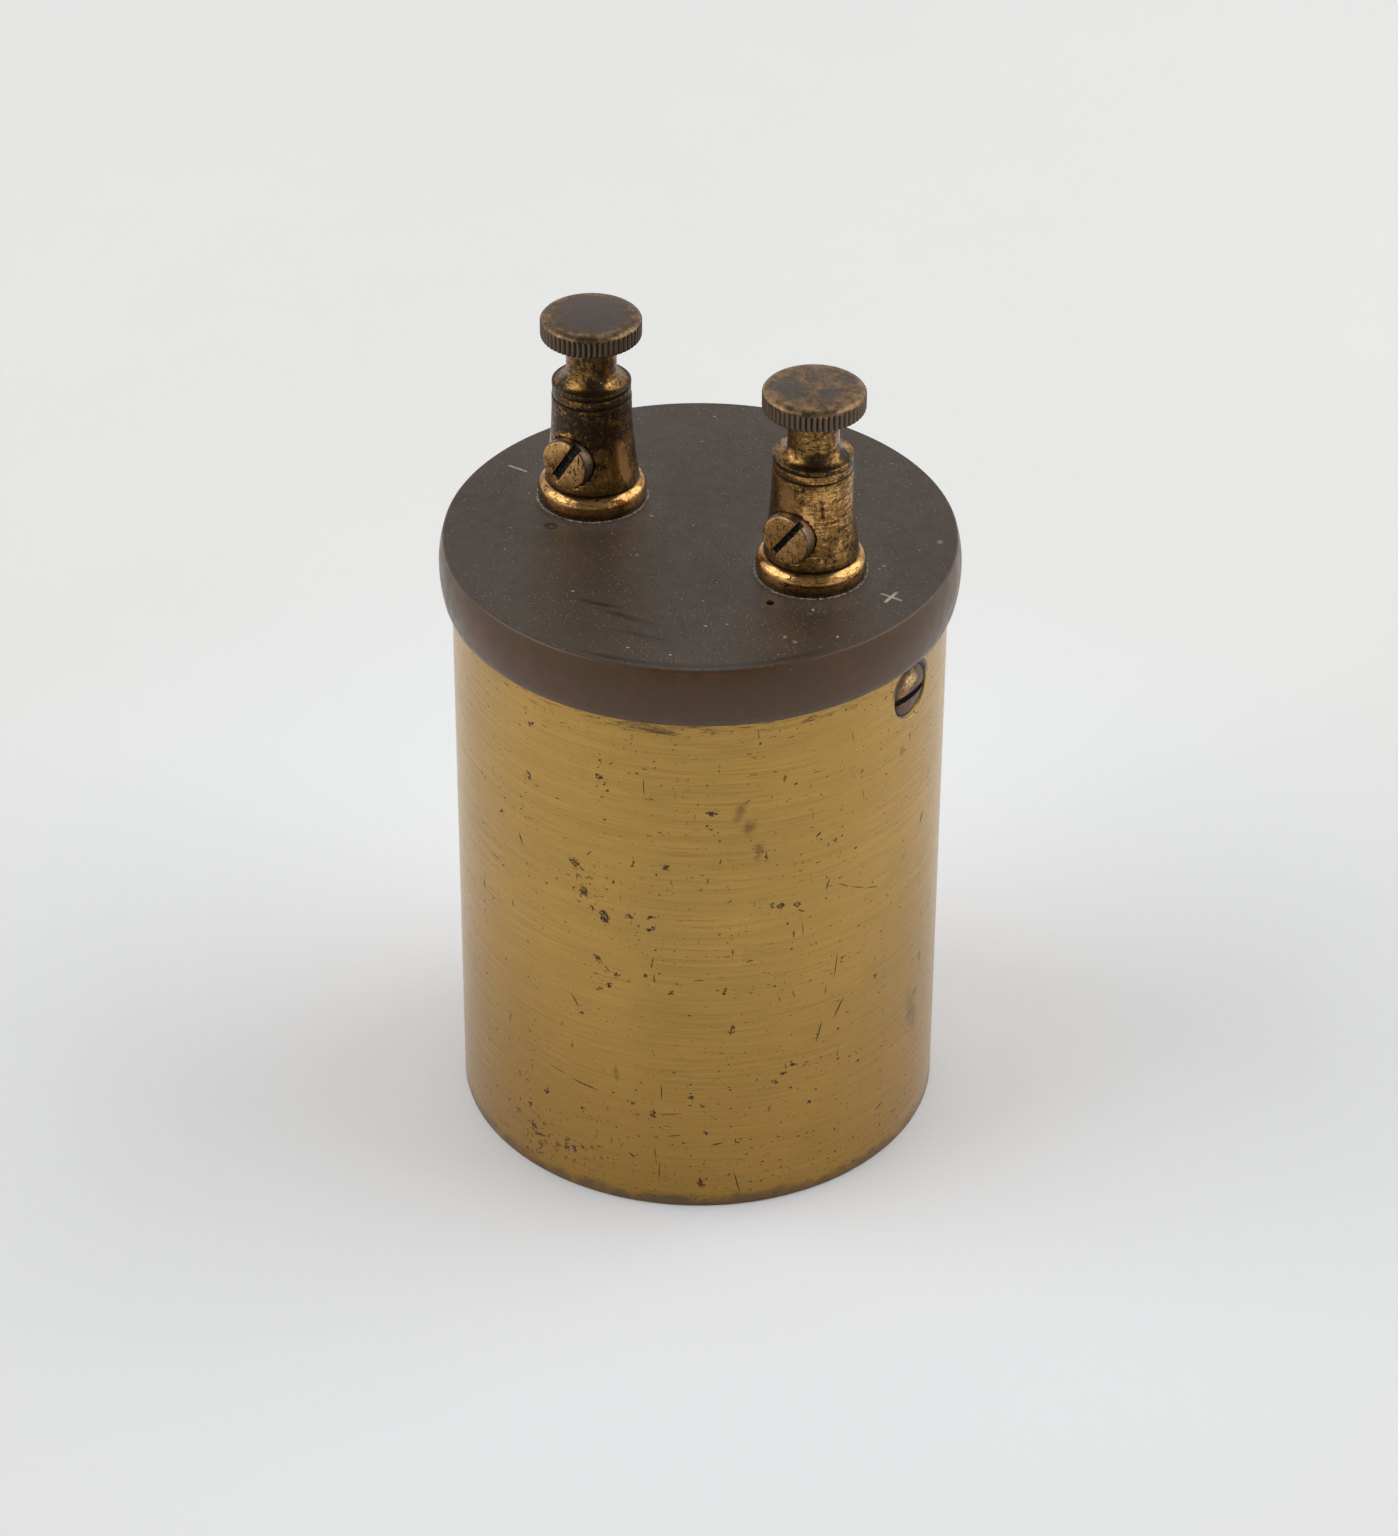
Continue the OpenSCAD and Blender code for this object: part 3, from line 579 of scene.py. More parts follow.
# Areas of each post in the same picture: dark and clean ones of its column, painted dark
# reflections on its nut's flare, and grey ones of its head
LEFT_POST = (
    [(560, 424, 630, 428, 9), (585, 440, 612, 446, 9), (634, 430, 637, 470, 3), (588, 462, 610, 470, 4)],
    [(557, 436, 573, 438, 4), (619, 438, 627, 486, 8), (560, 497, 574, 505, 8), (624, 498, 644, 484, 8)],
    [(584, 393, 612, 392, 8), (560, 388, 563, 380, 4), (636, 385, 634, 378, 4)],
    [oval(593, 313.5, 43, 25)],
)
RIGHT_POST = (
    [(822, 496, 824, 528, 3), (829, 522, 842, 521, 2), (799, 494, 805, 494, 2), (773, 484, 774, 515, 3),
     (846, 508, 852, 500, 1.2), (842, 520, 850, 511, 1.2), (843, 534, 851, 526, 1.2),
     (832, 505, 840, 499, 1.4)],
    [(785, 486, 786, 512, 8), (806, 510, 808, 556, 9), (763, 566, 790, 580, 9)],
    [(803, 463, 834, 461, 8), (794, 449, 796, 462, 3), (842, 448, 846, 462, 6)],
    [oval(790, 388, 21, 14, 10), oval(831, 394, 14, 8), oval(848, 379, 6, 5), oval(812, 378, 6, 4)],
)


def case_finish(colours):
    """Satin brass with polishing lines, pits, blots, scratches and stains, painted shade towards the bottom,
    and painted shadow in and over the countersinks.
    """
    f = Finish("case_brass_finish", Anisotropic=0.6, Coat_Weight=0.42, Coat_Roughness=0.14, Coat_IOR=1.5)
    brass, wall, find = colours.brass, f.wall(CASE_R), on_wall(CASE_R)
    # The polishing lines lean a little
    tilted = f.vector("ADD", f.place, f.join(0.0, 0.0, f.dot(f.place, (0.035, -0.02, 0))))
    fine = f.streaks(tilted, (0.10, 0.10, 5.0), 4.0, 0.75)
    middle = f.streaks(tilted, (0.05, 0.05, 2.4), 3.0, 0.65)
    broad = f.streaks(tilted, (0.025, 0.025, 0.8), 4.0, 0.65)
    cloud = f.noise(f.place, 0.05, 4.0, 0.6)
    colour = f.blend(cloud.band(0.3, 0.7), shade(brass, 0.93), shade(brass, 1.05))
    colour = f.blend(fine.band(0.44, 0.70, 0.0, 0.55), colour, shade(brass, 0.58))
    colour = f.blend(middle.band(0.47, 0.68, 0.0, 0.35), colour, shade(brass, 0.68))
    colour = f.blend(broad.band(0.42, 0.70, 0.0, 0.35), colour, shade(brass, 0.78))
    # Painted shade: the case darkens towards the bottom, for the shadowed floor that it reflects there
    low_shade_gold = (0.245, 0.116, 0.010)
    colour = f.blend(f.z.band(50.0, 0.0, 0.0, 0.50), colour, low_shade_gold)

    streak = f.streaks(f.shaken(tilted, 0.8, 0.25), (0.40, 0.40, 4.5), 5.0, 0.78)
    strong = f.marks(f.shaken(wall, 0.2, 2.0), placed(find, UNDER_LID), 0.9)
    under_lid = streak + f.z.band(CASE_H - 4.5, CASE_H - 1.2, -0.30, -0.02) + strong * 0.12
    under_lid = under_lid.band(0.50, 0.60)
    ragged = f.streaks(f.place, (0.22, 0.22, 0.4), 6.0, 0.75, 0.5)
    foot = (f.z.band(4.5, 0.0, -0.58, 0.26) + ragged * 1.3).band(0.50, 0.94)
    stain = f.marks(f.shaken(wall, 0.5, 1.6), placed(find, [oval(*s) for s in STAINS]), 0.8)
    stain = stain * f.noise(f.place, 1.2, 5.0, 0.7).band(0.3, 0.55, 0.25, 1.0)
    dull = under_lid * 0.8 | foot * 0.75 | stain * 0.52
    stain_brown, foot_brown = (0.105, 0.050, 0.016), (0.100, 0.066, 0.042)
    colour = f.blend(dull, colour, f.blend(foot, stain_brown, foot_brown))

    crowd = f.noise(f.place, 0.09, 3.0, 0.6).band(0.42, 0.68, 0.12, 0.32)
    crowded = f.marks(wall, placed(find, PITTED), 0.9)
    dense = crowd + f.z.band(32.0, 2.0, 0.0, 0.20) + crowded * 0.30
    near, chance, grade = f.cells(f.shaken(f.scaled(f.place, 1, 1, 1.4), 2.2, 0.6), 1.0)
    pits = (near < grade * grade * 0.17 + 0.045) * (chance < dense * 2.6)
    near, chance, grade = f.cells(f.shaken(f.scaled(f.place, 1, 1, 1.6), 4.0, 0.25), 1.5)
    dots = (near < grade * 0.12 + 0.08) * (chance < dense)
    blots = f.marks(f.shaken(wall, 2.2, 1.5), placed(find, [oval(*b) for b in BLOTS]), 0.25)
    blots = blots * f.noise(f.place, 2.8, 4.0, 0.75).band(0.40, 0.46)
    scratches = f.marks(f.shaken(wall, 1.5, 0.14), placed(find, SCRATCHES), 0.5)
    upright = f.streaks(f.shaken(f.place, 0.2, 3.0), (1.1, 1.1, 0.16), 2.0, 0.5)
    dashes = f.streaks(f.shaken(f.place, 0.3, 0.8), (0.55, 0.55, 2.6), 2.0, 0.5)
    bites = f.noise(f.shaken(f.place, 1.2, 1.4), 1.3, 3.0, 0.6) + crowded * 0.11
    nicks = upright.band(0.725, 0.75, 0.0, 0.7) | dashes.band(0.715, 0.74, 0.0, 0.7)
    nicks = nicks | bites.band(0.690, 0.705, 0.0, 0.85)
    dark = pits * 0.9 | dots * 0.75 | blots * 0.95 | scratches * 0.9 | nicks
    pit_red, pit_black = (0.074, 0.026, 0.005), (0.034, 0.017, 0.011)
    colour = f.blend(dark, colour, f.blend(f.noise(f.place, 0.2, 2.0).band(0.42, 0.58), pit_red, pit_black))
    bright = f.streaks(tilted, (0.35, 0.35, 9.0), 2.0, 0.5)
    colour = f.blend(bright.band(0.70, 0.78, 0.0, 0.35), colour, shade(brass, 1.45))

    # Painted shade: the inner wall and the deepest part of each countersink are darkened
    inside = f.radius.band(CASE_R - 0.9, CASE_R - 1.3, 0.0, 0.6)
    # Painted shadow: the countersinks are black, most of all at the top, and so is the wall just over them
    hole = f.radius.band(CASE_R - 0.02, CASE_R - 0.16)
    hole = hole * abs(f.z - LID_SCREW_Z).band(LID_SCREW_R + 1.2, LID_SCREW_R + 0.6, 0.0, 0.9)
    hole = hole * f.z.band(LID_SCREW_Z - 3.2, LID_SCREW_Z - 1.0, 0.66, 1.0)
    screw = f.length(f.join(f.y, f.z - LID_SCREW_Z)) + ragged * 0.5
    gap_shadow = screw.band(LID_SCREW_R + 1.15, LID_SCREW_R + 0.85, 0.0, 0.85)
    gap_shadow = gap_shadow * f.z.band(LID_SCREW_Z - 0.2, LID_SCREW_Z + 1.8)
    shade_black = (0.018, 0.013, 0.010)
    f.feed(
        Base_Color=f.blend(hole | gap_shadow | inside, colour, shade_black),
        Metallic=(dark * 0.1 | dull * 0.25).band(0.0, 1.0, 1.0, 0.15),
        Roughness=fine.band(0.3, 0.7, 0.36, 0.46) + dull * 0.12 + dark * 0.1,
        Tangent=f.join(0.0, 0.0, 1.0),
        Normal=f.bump(pits * -1.0, 0.05, 0.6, f.bump(fine, 0.006, 0.6)))
    return f.material


def ebonite_finish(colours, mark_deep):
    """Matte aged ebonite, with dust, a residue round each flange, dark smudges, filled marks, painted shade
    along the front of the top's edge and painted shade in the holes.
    """
    f = Finish("ebonite_finish", IOR=1.5, Specular_Tint=(1.0, 0.88, 0.78, 1.0))
    ebonite = colours.ebonite
    top = f.z.band(LID_TOP - 0.05, LID_TOP - 0.02)
    side = 1.0 - top
    grain = f.noise(f.place, 4.0, 5.0, 0.7)
    colour = f.blend(grain.band(0.3, 0.7), shade(ebonite, 0.85), shade(ebonite, 1.15))
    colour = f.blend(f.noise(f.place, 0.12, 4.0, 0.6).band(0.35, 0.65, 0.0, 0.5), colour, shade(ebonite, 1.2))
    side_brown, side_red = (0.058, 0.027, 0.009), (0.082, 0.030, 0.012)
    colour = f.blend(side, colour, side_brown)
    colour = f.blend(side * f.noise(f.place, 0.22, 4.0, 0.65).band(0.5, 0.66, 0.0, 0.7), colour, side_red)

    post = f.length(f.join(abs(f.x) - POST_X, f.y))
    ragged = f.noise(f.place, 1.6, 5.0, 0.75)
    crumbs = f.noise(f.place, 4.5, 4.0, 0.8)
    ring = (post + ragged * -0.9).between(FLANGE_R - 0.55, FLANGE_R - 0.22, 0.06)
    ring = ring * (ragged + crumbs).band(0.94, 1.08, 0.06, 0.85)
    halo = post.band(FLANGE_R + 4.5, FLANGE_R, 0.0, 0.22)
    rim = f.radius.band(LID_R - 9.0, LID_R - 1.0, 0.0, 0.05)
    small = f.specks(f.shaken(f.place, 4.0, 0.12), 1.9, 0.09, 0.18)
    small = small * f.noise(f.place, 0.5, 3.0).band(0.4, 0.62, 0.2, 0.7)
    patch = f.noise(f.place, 0.25, 4.0, 0.6).band(0.45, 0.65, 0.25, 1.0)
    near, chance, grade = f.cells(f.place, 4.6)
    fine = (near < grade * 0.30 + 0.14) * (chance < (halo * 1.6 + rim + 0.22) * patch) * 0.30
    large = f.specks(f.shaken(f.place, 3.0, 0.5), 0.55, 0.18, 0.12) * 0.7
    lint = f.streaks(f.shaken(f.place, 0.15, 6.0), (0.55, 3.2, 1.0), 2.0, 0.5)
    lint = lint.band(0.775, 0.80, 0.0, 0.3)
    dust = (ring | small | fine | large | lint | halo * 0.25) * top
    haze = f.noise(f.place, 7.0, 3.0, 0.8).band(0.55, 0.75, 0.0, 0.10) * top
    side_dust = side * f.specks(f.shaken(f.place, 4.0, 0.2), 0.8, 0.03, 0.14) * 0.4
    colour = f.blend(dust + haze + side_dust, colour, colours.dust)

    level, find = f.join(f.x, f.y), on_level(LID_TOP)
    smudge_and_shade = f.marks(f.shaken(level, 0.45, 1.3), placed(find, SMUDGES), 0.9)
    # Painted shade: a dark line along the top's edge on the camera's side, joined to the real smudges
    in_front = f.dot(f.place, tuple(FRONT)).band(27.0, 30.0)
    front_edge_shade = f.radius.between(LID_R - 2.1, LID_R - 1.4, 0.4) * in_front
    smudge_and_shade = (smudge_and_shade | front_edge_shade) * top
    colour = f.blend(smudge_and_shade * 0.85, colour, shade(ebonite, 0.18))
    spots = f.marks(level, placed(find, [oval(*s) for s in SPOTS]), 0.6)
    colour = f.blend(spots * top * 0.3, colour, colours.dust)
    filled = f.z.between(LID_TOP - mark_deep - 0.1, LID_TOP - 0.08, 0.02)
    filled = filled * abs(abs(f.x) - MARK_X).band(3.0, 2.5) * abs(f.y).band(3.0, 2.5)
    filled = filled * f.noise(f.place, 2.5, 4.0, 0.7).band(0.34, 0.5, 0.35, 1.0)
    colour = f.blend(filled, colour, shade(colours.dust, 1.15))
    peg = f.length(f.join(f.x + POST_X, f.y - PEG_Y))
    colour = f.blend(peg.between(0.5, 0.9, 0.12) * top * 0.95, colour, shade(ebonite, 0.12))
    # Painted shade: the walls of the holes are black
    hole_shade = f.z.band(LID_TOP - 0.30, LID_TOP - 0.45) * f.radius.band(CASE_R - 6.0, CASE_R - 7.0)
    hole_shade_black = (0.008, 0.006, 0.005)
    rough = f.noise(f.place, 0.5, 4.0, 0.6).band(0.3, 0.7, 0.40, 0.52)
    f.feed(
        Base_Color=f.blend(hole_shade, colour, hole_shade_black),
        Roughness=rough + dust * 0.3 + smudge_and_shade * -0.10 + side * -0.12,
        Normal=f.bump(grain * 0.5 + dust * 0.6, 0.03, 0.5))
    return f.material


def worn_brass(f, colours, tarnish, streaks=0.0):
    """Colour, dullness, roughness and turning lines of old brass, more tarnished where asked."""
    broad = f.noise(f.at, 0.45, 5.0, 0.68, 0.4)
    grit = f.noise(f.at, 1.9, 5.0, 0.78)
    lines = f.streaks(f.at, (0.35, 0.35, 4.0), 4.0, 0.7)
    usual = 0.95
    film = broad * (0.8 - 1.4 * streaks) + grit * (0.9 - 0.6 * streaks)
    film = film + lines * (0.20 + 2 * streaks) + tarnish
    thin = film.band(usual - 0.14, usual + 0.02)
    vein = abs(f.noise(f.at, 0.6, 5.0, 0.7, 0.8) - 0.5).band(0.016, 0.006)
    vein = vein * film.band(usual - 0.04, usual + 0.06) * (1 - 7 * streaks)
    thick = film.band(usual + 0.09, usual + 0.13) | vein
    specks = f.specks(f.shaken(f.at, 3.5, 0.3), 1.5, 0.28 - streaks, 0.22) * 0.85
    chips = f.specks(f.shaken(f.at, 4.0, 0.4), 1.8, 0.30, 0.30)
    red_brass = (0.36, 0.15, 0.05)
    tone = f.blend(lines.band(0.35, 0.7, 0.0, 0.4), colours.gold, shade(colours.gold, 0.62))
    tone = f.blend(f.noise(f.at, 1.1, 4.0, 0.7).band(0.50, 0.62, 0.0, 0.6 - 3 * streaks), tone, red_brass)
    colour = f.blend(thin * 0.9 * (chips * -0.7 + 1.0), tone, colours.olive)
    dull = thick * 0.95 * (chips * -0.75 + 1.0) | specks
    mottle = f.noise(f.at, 1.7, 5.0, 0.8).band(0.53, 0.59)
    colour = f.blend(dull, colour, f.blend(mottle, colours.black, shade(colours.olive, 0.7)))
    dull = dull * (mottle * -0.6 + 1.0)
    rough = lines.band(0.3, 0.7, 0.12, 0.22) + thin * 0.10 + dull * 0.12
    return colour, dull, rough, lines


def post_finish(colours, name, shift, streaks, bias, cover, clean):
    """Tarnished turned brass of one post's column, darker and cleaner in places."""
    x_axis = SIDES[name] * POST_X
    f = Finish("post_" + name + "_finish", x_axis, shift, Specular_IOR_Level=0.45)
    wall, find = f.shaken(f.wall(WALL_R), 0.8, 1.2), on_wall(WALL_R, x_axis)
    height = COLUMN_TOP - FOOT_TOP
    general = f.z.band(FOOT_TOP + 0.42 * height, FOOT_TOP + 0.72 * height, 0.02, bias)
    general = general + f.z.band(FOOT_TOP, FOOT_TOP - 0.2, 0.0, -0.12)
    tarnish = f.marks(wall, placed(find, cover), 0.7) * 0.20 + f.marks(wall, placed(find, clean), 0.5) * -0.30
    colour, dull, rough, lines = worn_brass(f, colours, tarnish + general, streaks)
    groove = f.z.between(FOOT_TOP - 0.12, FOOT_TOP + 0.20, 0.06) * f.radius.band(6.3, 6.15)
    scuffs = f.streaks(f.shaken(f.at, 0.8, 0.6), (0.9, 0.9, 3.0), 4.0, 0.75)
    scuffs = scuffs.band(0.56, 0.62, 0.0, 0.85) * f.z.band(FOOT_TOP, FOOT_TOP - 0.2)
    scuff_brown, groove_black = (0.060, 0.034, 0.020), (0.016, 0.011, 0.008)
    colour = f.blend(scuffs, colour, scuff_brown)
    foot = f.z.band(LID_TOP + 1.3, LID_TOP + 0.5, 0.0, 0.75)
    brow = f.z.band(COLUMN_TOP - 0.35, COLUMN_TOP - 0.05, 0.0, 0.8)
    dark = groove | foot | brow
    white = f.specks(f.shaken(f.at, 3.0, 0.2), 0.55, 0.05, 0.10) * 0.8
    f.feed(
        Base_Color=f.blend(white, f.blend(dark, colour, groove_black), colours.dust),
        Metallic=((dull | dark) * 0.3 | white).band(0.0, 1.0, 1.0, 0.35),
        Roughness=rough + dark * 0.15 + f.z.band(FOOT_TOP - 0.1, FOOT_TOP - 0.2, 0.04, -0.02),
        Normal=f.bump(lines * 0.25 + dull * -1.0, 0.02, 0.5))
    return f.material


def nut_finish(colours, name, shift, bias, warmth, flare, greys):
    """One thumb nut: brown patina on the head, dark furrows, worn brass on neck and collar, painted shadow
    under the head and painted reflection on the flare.
    """
    x_axis = SIDES[name] * POST_X
    f = Finish("nut_" + name + "_finish", x_axis, shift, Specular_IOR_Level=0.3)
    level, bronze, slate = f.join(f.x, f.y), colours.bronze, colours.slate
    # Painted reflection: the marked areas of the flare get more tarnish, for the dark that the hollow
    # reflects
    cover = f.marks(f.shaken(level, 0.9, 1.2), placed(on_level(NUT_Z + 0.9, x_axis), flare), 0.6)
    cover = cover * f.z.band(NUT_Z + 2.3, NUT_Z + 1.8)
    collar = f.z.band(NUT_Z + 0.72, NUT_Z + 0.62, 0.0, bias)
    colour, dull, rough, lines = worn_brass(f, colours, cover * 0.26 + collar + (bias / 2 + 0.03), 0.1)
    # Painted shadow: the neck darkens towards black just under the head
    colour = f.blend(f.z.band(HEAD_LOW - 1.6, HEAD_LOW - 0.3, 0.0, 0.7), colour, colours.black)
    head = f.z.band(HEAD_LOW - 0.08, HEAD_LOW - 0.02)
    coarse = f.noise(f.at, 0.7, 5.0, 0.7)
    grit = f.noise(f.at, 3.2, 5.0, 0.75)
    brown = f.blend(coarse.band(0.35, 0.65), shade(bronze, 0.55), shade(bronze, 1.35 * warmth))
    brown = f.blend(grit.band(0.46, 0.66, 0.0, 0.8), brown, shade(slate, 0.8))
    grey = f.marks(f.shaken(level, 0.7, 2.8), placed(on_level(NUT_TOP, x_axis), greys), 0.4)
    grey = grey * f.z.band(HEAD_EDGE, HEAD_FLAT - 0.1) * grit.band(0.36, 0.58, 0.50, 1.0)
    brown = f.blend(grey, brown, slate)
    ridge_grey, worn_gold, furrow_and_shade_black = (0.125, 0.092, 0.066), (0.38, 0.24, 0.105), (0.030, 0.022, 0.016)
    ridges = f.z.band(HEAD_EDGE + 0.25, HEAD_EDGE - 0.15)
    brown = f.blend(ridges * 0.8, brown, ridge_grey)
    worn = f.radius.between(HEAD_R - 1.5, HEAD_R + 0.3, 0.18) * f.z.between(HEAD_EDGE - 0.1, NUT_TOP, 0.12)
    worn = worn * (coarse + grit * 0.9).band(0.94, 1.08, 0.0, 0.5)
    brown = f.blend(worn, brown, worn_gold)
    furrow = f.radius.band(HEAD_R - 0.06, HEAD_R - 0.22) * ridges
    # Painted shade: the underside of the head is dark
    under = f.z.band(HEAD_LOW + 0.10, HEAD_LOW, 0.0, 0.6)
    brown = f.blend(furrow * 0.75 | under, brown, furrow_and_shade_black)
    f.feed(
        Base_Color=f.blend(head, colour, brown),
        Metallic=f.mix(head, dull.band(0.0, 1.0, 1.0, 0.75), (grey | worn * -1.0).band(0.0, 1.0, 0.8, 0.4)),
        Roughness=f.mix(head, rough, coarse.band(0.3, 0.7, 0.32, 0.44) + worn * -0.12),
        Normal=f.bump(grit * 0.6 + lines * 0.2, 0.02, 0.5))
    return f.material


def ring_finish(colours, name, shift, bias):
    """One clamp ring: worn brass with black edges."""
    f = Finish("ring_" + name + "_finish", SIDES[name] * POST_X, shift, Specular_IOR_Level=0.3)
    edge = f.z.band(RING_LOW.z + 0.14, RING_LOW.z + 0.03) | f.z.band(RING_HIGH.z - 0.12, RING_HIGH.z)
    colour, dull, rough, lines = worn_brass(f, colours, edge * 0.1 + bias, 0.1)
    f.feed(
        Base_Color=f.blend(edge * 0.7, colour, colours.black),
        Metallic=(dull | edge).band(0.0, 1.0, 1.0, 0.75),
        Roughness=rough,
        Normal=f.bump(lines * 0.3 + dull * -1.0, 0.02, 0.5))
    return f.material


def side_screw_finish(colours, name, shift, side):
    """A side screw: mottled face, dull side and a black slot."""
    f = Finish("screw_" + name + "_finish", SIDES[name] * POST_X, shift, Specular_IOR_Level=0.3)
    deep = f.y - SCREW_FACE
    radius = f.length(f.join(f.x, f.z - SCREW_Z))
    broad = f.noise(f.at, 0.8, 5.0, 0.7)
    grit = f.noise(f.at, 3.0, 5.0, 0.75)
    colour = f.blend(broad.band(0.44, 0.66), shade(colours.gold, 1.1), shade(colours.gold, 0.5))
    stripes = f.streaks(f.shaken(f.at, 0.6, 0.8), (3.5, 1.0, 0.7), 4.0, 0.7)
    colour = f.blend(grit.band(0.56, 0.61) | stripes.band(0.57, 0.62), colour, shade(colours.black, 1.3))
    edge = (radius + deep * 0.8).band(SCREW_R - 0.22, SCREW_R - 0.05, 0.0, 0.9)
    colour = f.blend(edge, colour, f.blend(grit.band(0.35, 0.65), side, shade(side, 0.6)))
    slot = deep.band(0.12, 0.30) * radius.band(SCREW_R - 0.06, SCREW_R - 0.2)
    slot_black, crumb_brown = (0.006, 0.006, 0.005), (0.10, 0.08, 0.06)
    debris = f.blend(f.noise(f.at, 1.6, 5.0, 0.75).band(0.52, 0.62), slot_black, crumb_brown)
    f.feed(
        Base_Color=f.blend(slot, colour, debris),
        Metallic=slot.band(0.0, 1.0, 0.85, 0.0),
        Roughness=broad.band(0.3, 0.7, 0.28, 0.40) + slot * 0.3,
        Normal=f.bump(grit, 0.02, 0.6))
    return f.material


def lid_screw_finish():
    """The lid screws: a bright patch on their domes, painted shadow round their rims, and dark slots."""
    f = Finish("lid_screw_finish", IOR=1.5)
    face = f.join(f.y, f.z - LID_SCREW_Z)
    radius = f.length(face)
    dome = f.math("POWER", f.math("DIVIDE", radius, LID_SCREW_R), 2.0) * LID_SCREW_DOME
    grit = f.noise(f.place, 2.4, 5.0, 0.75)
    broad = f.noise(f.place, 0.7, 4.0, 0.65)
    dark_brown, brown = (0.060, 0.034, 0.021), (0.17, 0.092, 0.046)
    colour = f.blend(broad.band(0.35, 0.65), dark_brown, brown)
    speckle = f.noise(f.place, 5.0, 3.0, 0.7).band(0.55, 0.47, 0.08, 1.0)
    rust = f.marks(f.shaken(face, 1.2, 1.4), [((-1.9, 0.5), (1.5, 1.4), 0)], 0.7)
    # A bright gold patch high on each dome
    bright_patch = f.marks(f.shaken(face, 1.2, 1.4), [((-0.3, 1.7), (2.0, 1.4), 0)], 0.7)
    rust_red, bright_gold, slot_black = (0.50, 0.24, 0.10), (0.86, 0.60, 0.26), (0.010, 0.008, 0.007)
    colour = f.blend(rust * speckle * 0.8, colour, rust_red)
    colour = f.blend(bright_patch * speckle, colour, bright_gold)
    slot = (LID_SCREW_OUT - abs(f.x) - dome).band(0.05, 0.2)
    slot = slot * radius.band(LID_SCREW_R - 0.05, LID_SCREW_R - 0.4)
    # Painted shadow: a black ring round the rim of each dome
    rim = radius.band(LID_SCREW_R - 0.4, LID_SCREW_R - 0.1, 0.0, 0.85)
    f.feed(
        Base_Color=f.blend(rim | slot, colour, slot_black),
        Metallic=slot.band(0.0, 1.0, 0.85, 0.0),
        Roughness=broad.band(0.3, 0.7, 0.30, 0.42),
        Normal=f.bump(grit, 0.02, 0.5))
    return f.material


def metal_finish(name, colour, dirt, rough, grain, share):
    """A plain metal with drawn or turned lines along its grain, and dirt over a share of it."""
    f = Finish(name + "_finish", Metallic=1.0)
    lines = f.streaks(f.place, grain, 4.0, 0.7)
    blotch = f.noise(f.place, 0.8, 5.0, 0.7)
    tone = f.blend(lines.band(0.3, 0.7), shade(colour, 0.75), shade(colour, 1.1))
    f.feed(
        Base_Color=f.blend(blotch.band(0.72 - share, 0.80 - share, 0.0, 0.85), tone, dirt),
        Roughness=blotch.band(0.3, 0.7, rough - 0.06, rough + 0.10) + lines * 0.05,
        Normal=f.bump(lines * 0.6 + blotch, 0.02, 0.5))
    return f.material


def cork_finish(colour):
    """Pressed cork: granules of several browns with dark pores."""
    f = Finish("cork_finish", Roughness=0.85)
    near, chance, _ = f.cells(f.shaken(f.place, 1.5, 0.5), 0.75)
    tone = f.blend(chance, shade(colour, 0.65), shade(colour, 1.25))
    tone = f.blend(near.band(0.45, 0.75, 0.0, 0.6), tone, shade(colour, 0.35))
    pores = f.specks(f.shaken(f.place, 3.0, 0.3), 1.3, 0.25, 0.25)
    f.feed(
        Base_Color=f.blend(pores * 0.8, tone, shade(colour, 0.15)),
        Normal=f.bump(near * -0.6 + pores * -1.0, 0.15, 0.7))
    return f.material


def clouded_finish(name, dark, light, scale, rough, depth, spots, **plain):
    """A mottled plain material: clouds between two colours, with grains of its own size."""
    f = Finish(name + "_finish", **plain)
    cloud = f.noise(f.place, scale, 5.0, 0.65, 0.6)
    near, chance, _ = f.cells(f.place, scale * 4)
    tone = f.blend(cloud.band(0.3, 0.7), dark, light)
    f.feed(
        Base_Color=f.blend((chance < spots) * near.band(0.5, 0.3), tone, shade(dark, 0.4)),
        Roughness=cloud.band(0.3, 0.7, rough, rough + 0.12),
        Normal=f.bump(cloud + near * -0.4, depth, 0.6))
    return f.material


def clear_finish(name, colour, ior, rough):
    """Glass or liquid, with faint clouds of dirt on it."""
    f = Finish(name + "_finish", IOR=ior, Transmission_Weight=1.0)
    smear = f.streaks(f.place, (0.5, 0.5, 0.15), 4.0, 0.65)
    f.feed(
        Base_Color=f.blend(smear.band(0.4, 0.75), colour, shade(colour, 0.82)),
        Roughness=smear.band(0.45, 0.75, rough, rough + 0.12))
    return f.material


class CELL_OT_case(bpy.types.Operator):
    """Model the brass case, with its two countersunk holes"""

    bl_idname = "cell.case"
    bl_label = "Brass case"

    def execute(self, context):
        shapes, colours = context.scene.cell_shapes, context.scene.cell_colours
        foot, lip, rings = 0.3, 0.12, 8
        outline = [(BORE_R, 0), *arc((CASE_R - foot, foot), foot, 270, 360, 4)]
        outline += [(CASE_R, CASE_H * i / rings) for i in range(1, rings)]
        outline += arc((CASE_R - lip, CASE_H - lip), lip, 0, 90, 3)
        outline += [(BORE_R, CASE_H), (BORE_R, 0)]
        piece = turned("brass_case", outline, shapes.turning_steps)
        # A cone as deep as it is wide, a little past the wall
        tip_r, sink, past = 0.01, LID_SCREW_R + 0.4, 1
        for side in SIDES.values():
            at = (side * (CASE_R - sink), 0, LID_SCREW_Z)
            cut(piece, rod(tip_r, sink + past, at, (0, side * math.pi / 2, 0), sink + past, 96))
        soften(piece, shapes.edge_round)
        dress(piece, case_finish(colours), "cell", "case_brass", "case_tube")
        return {"FINISHED"}


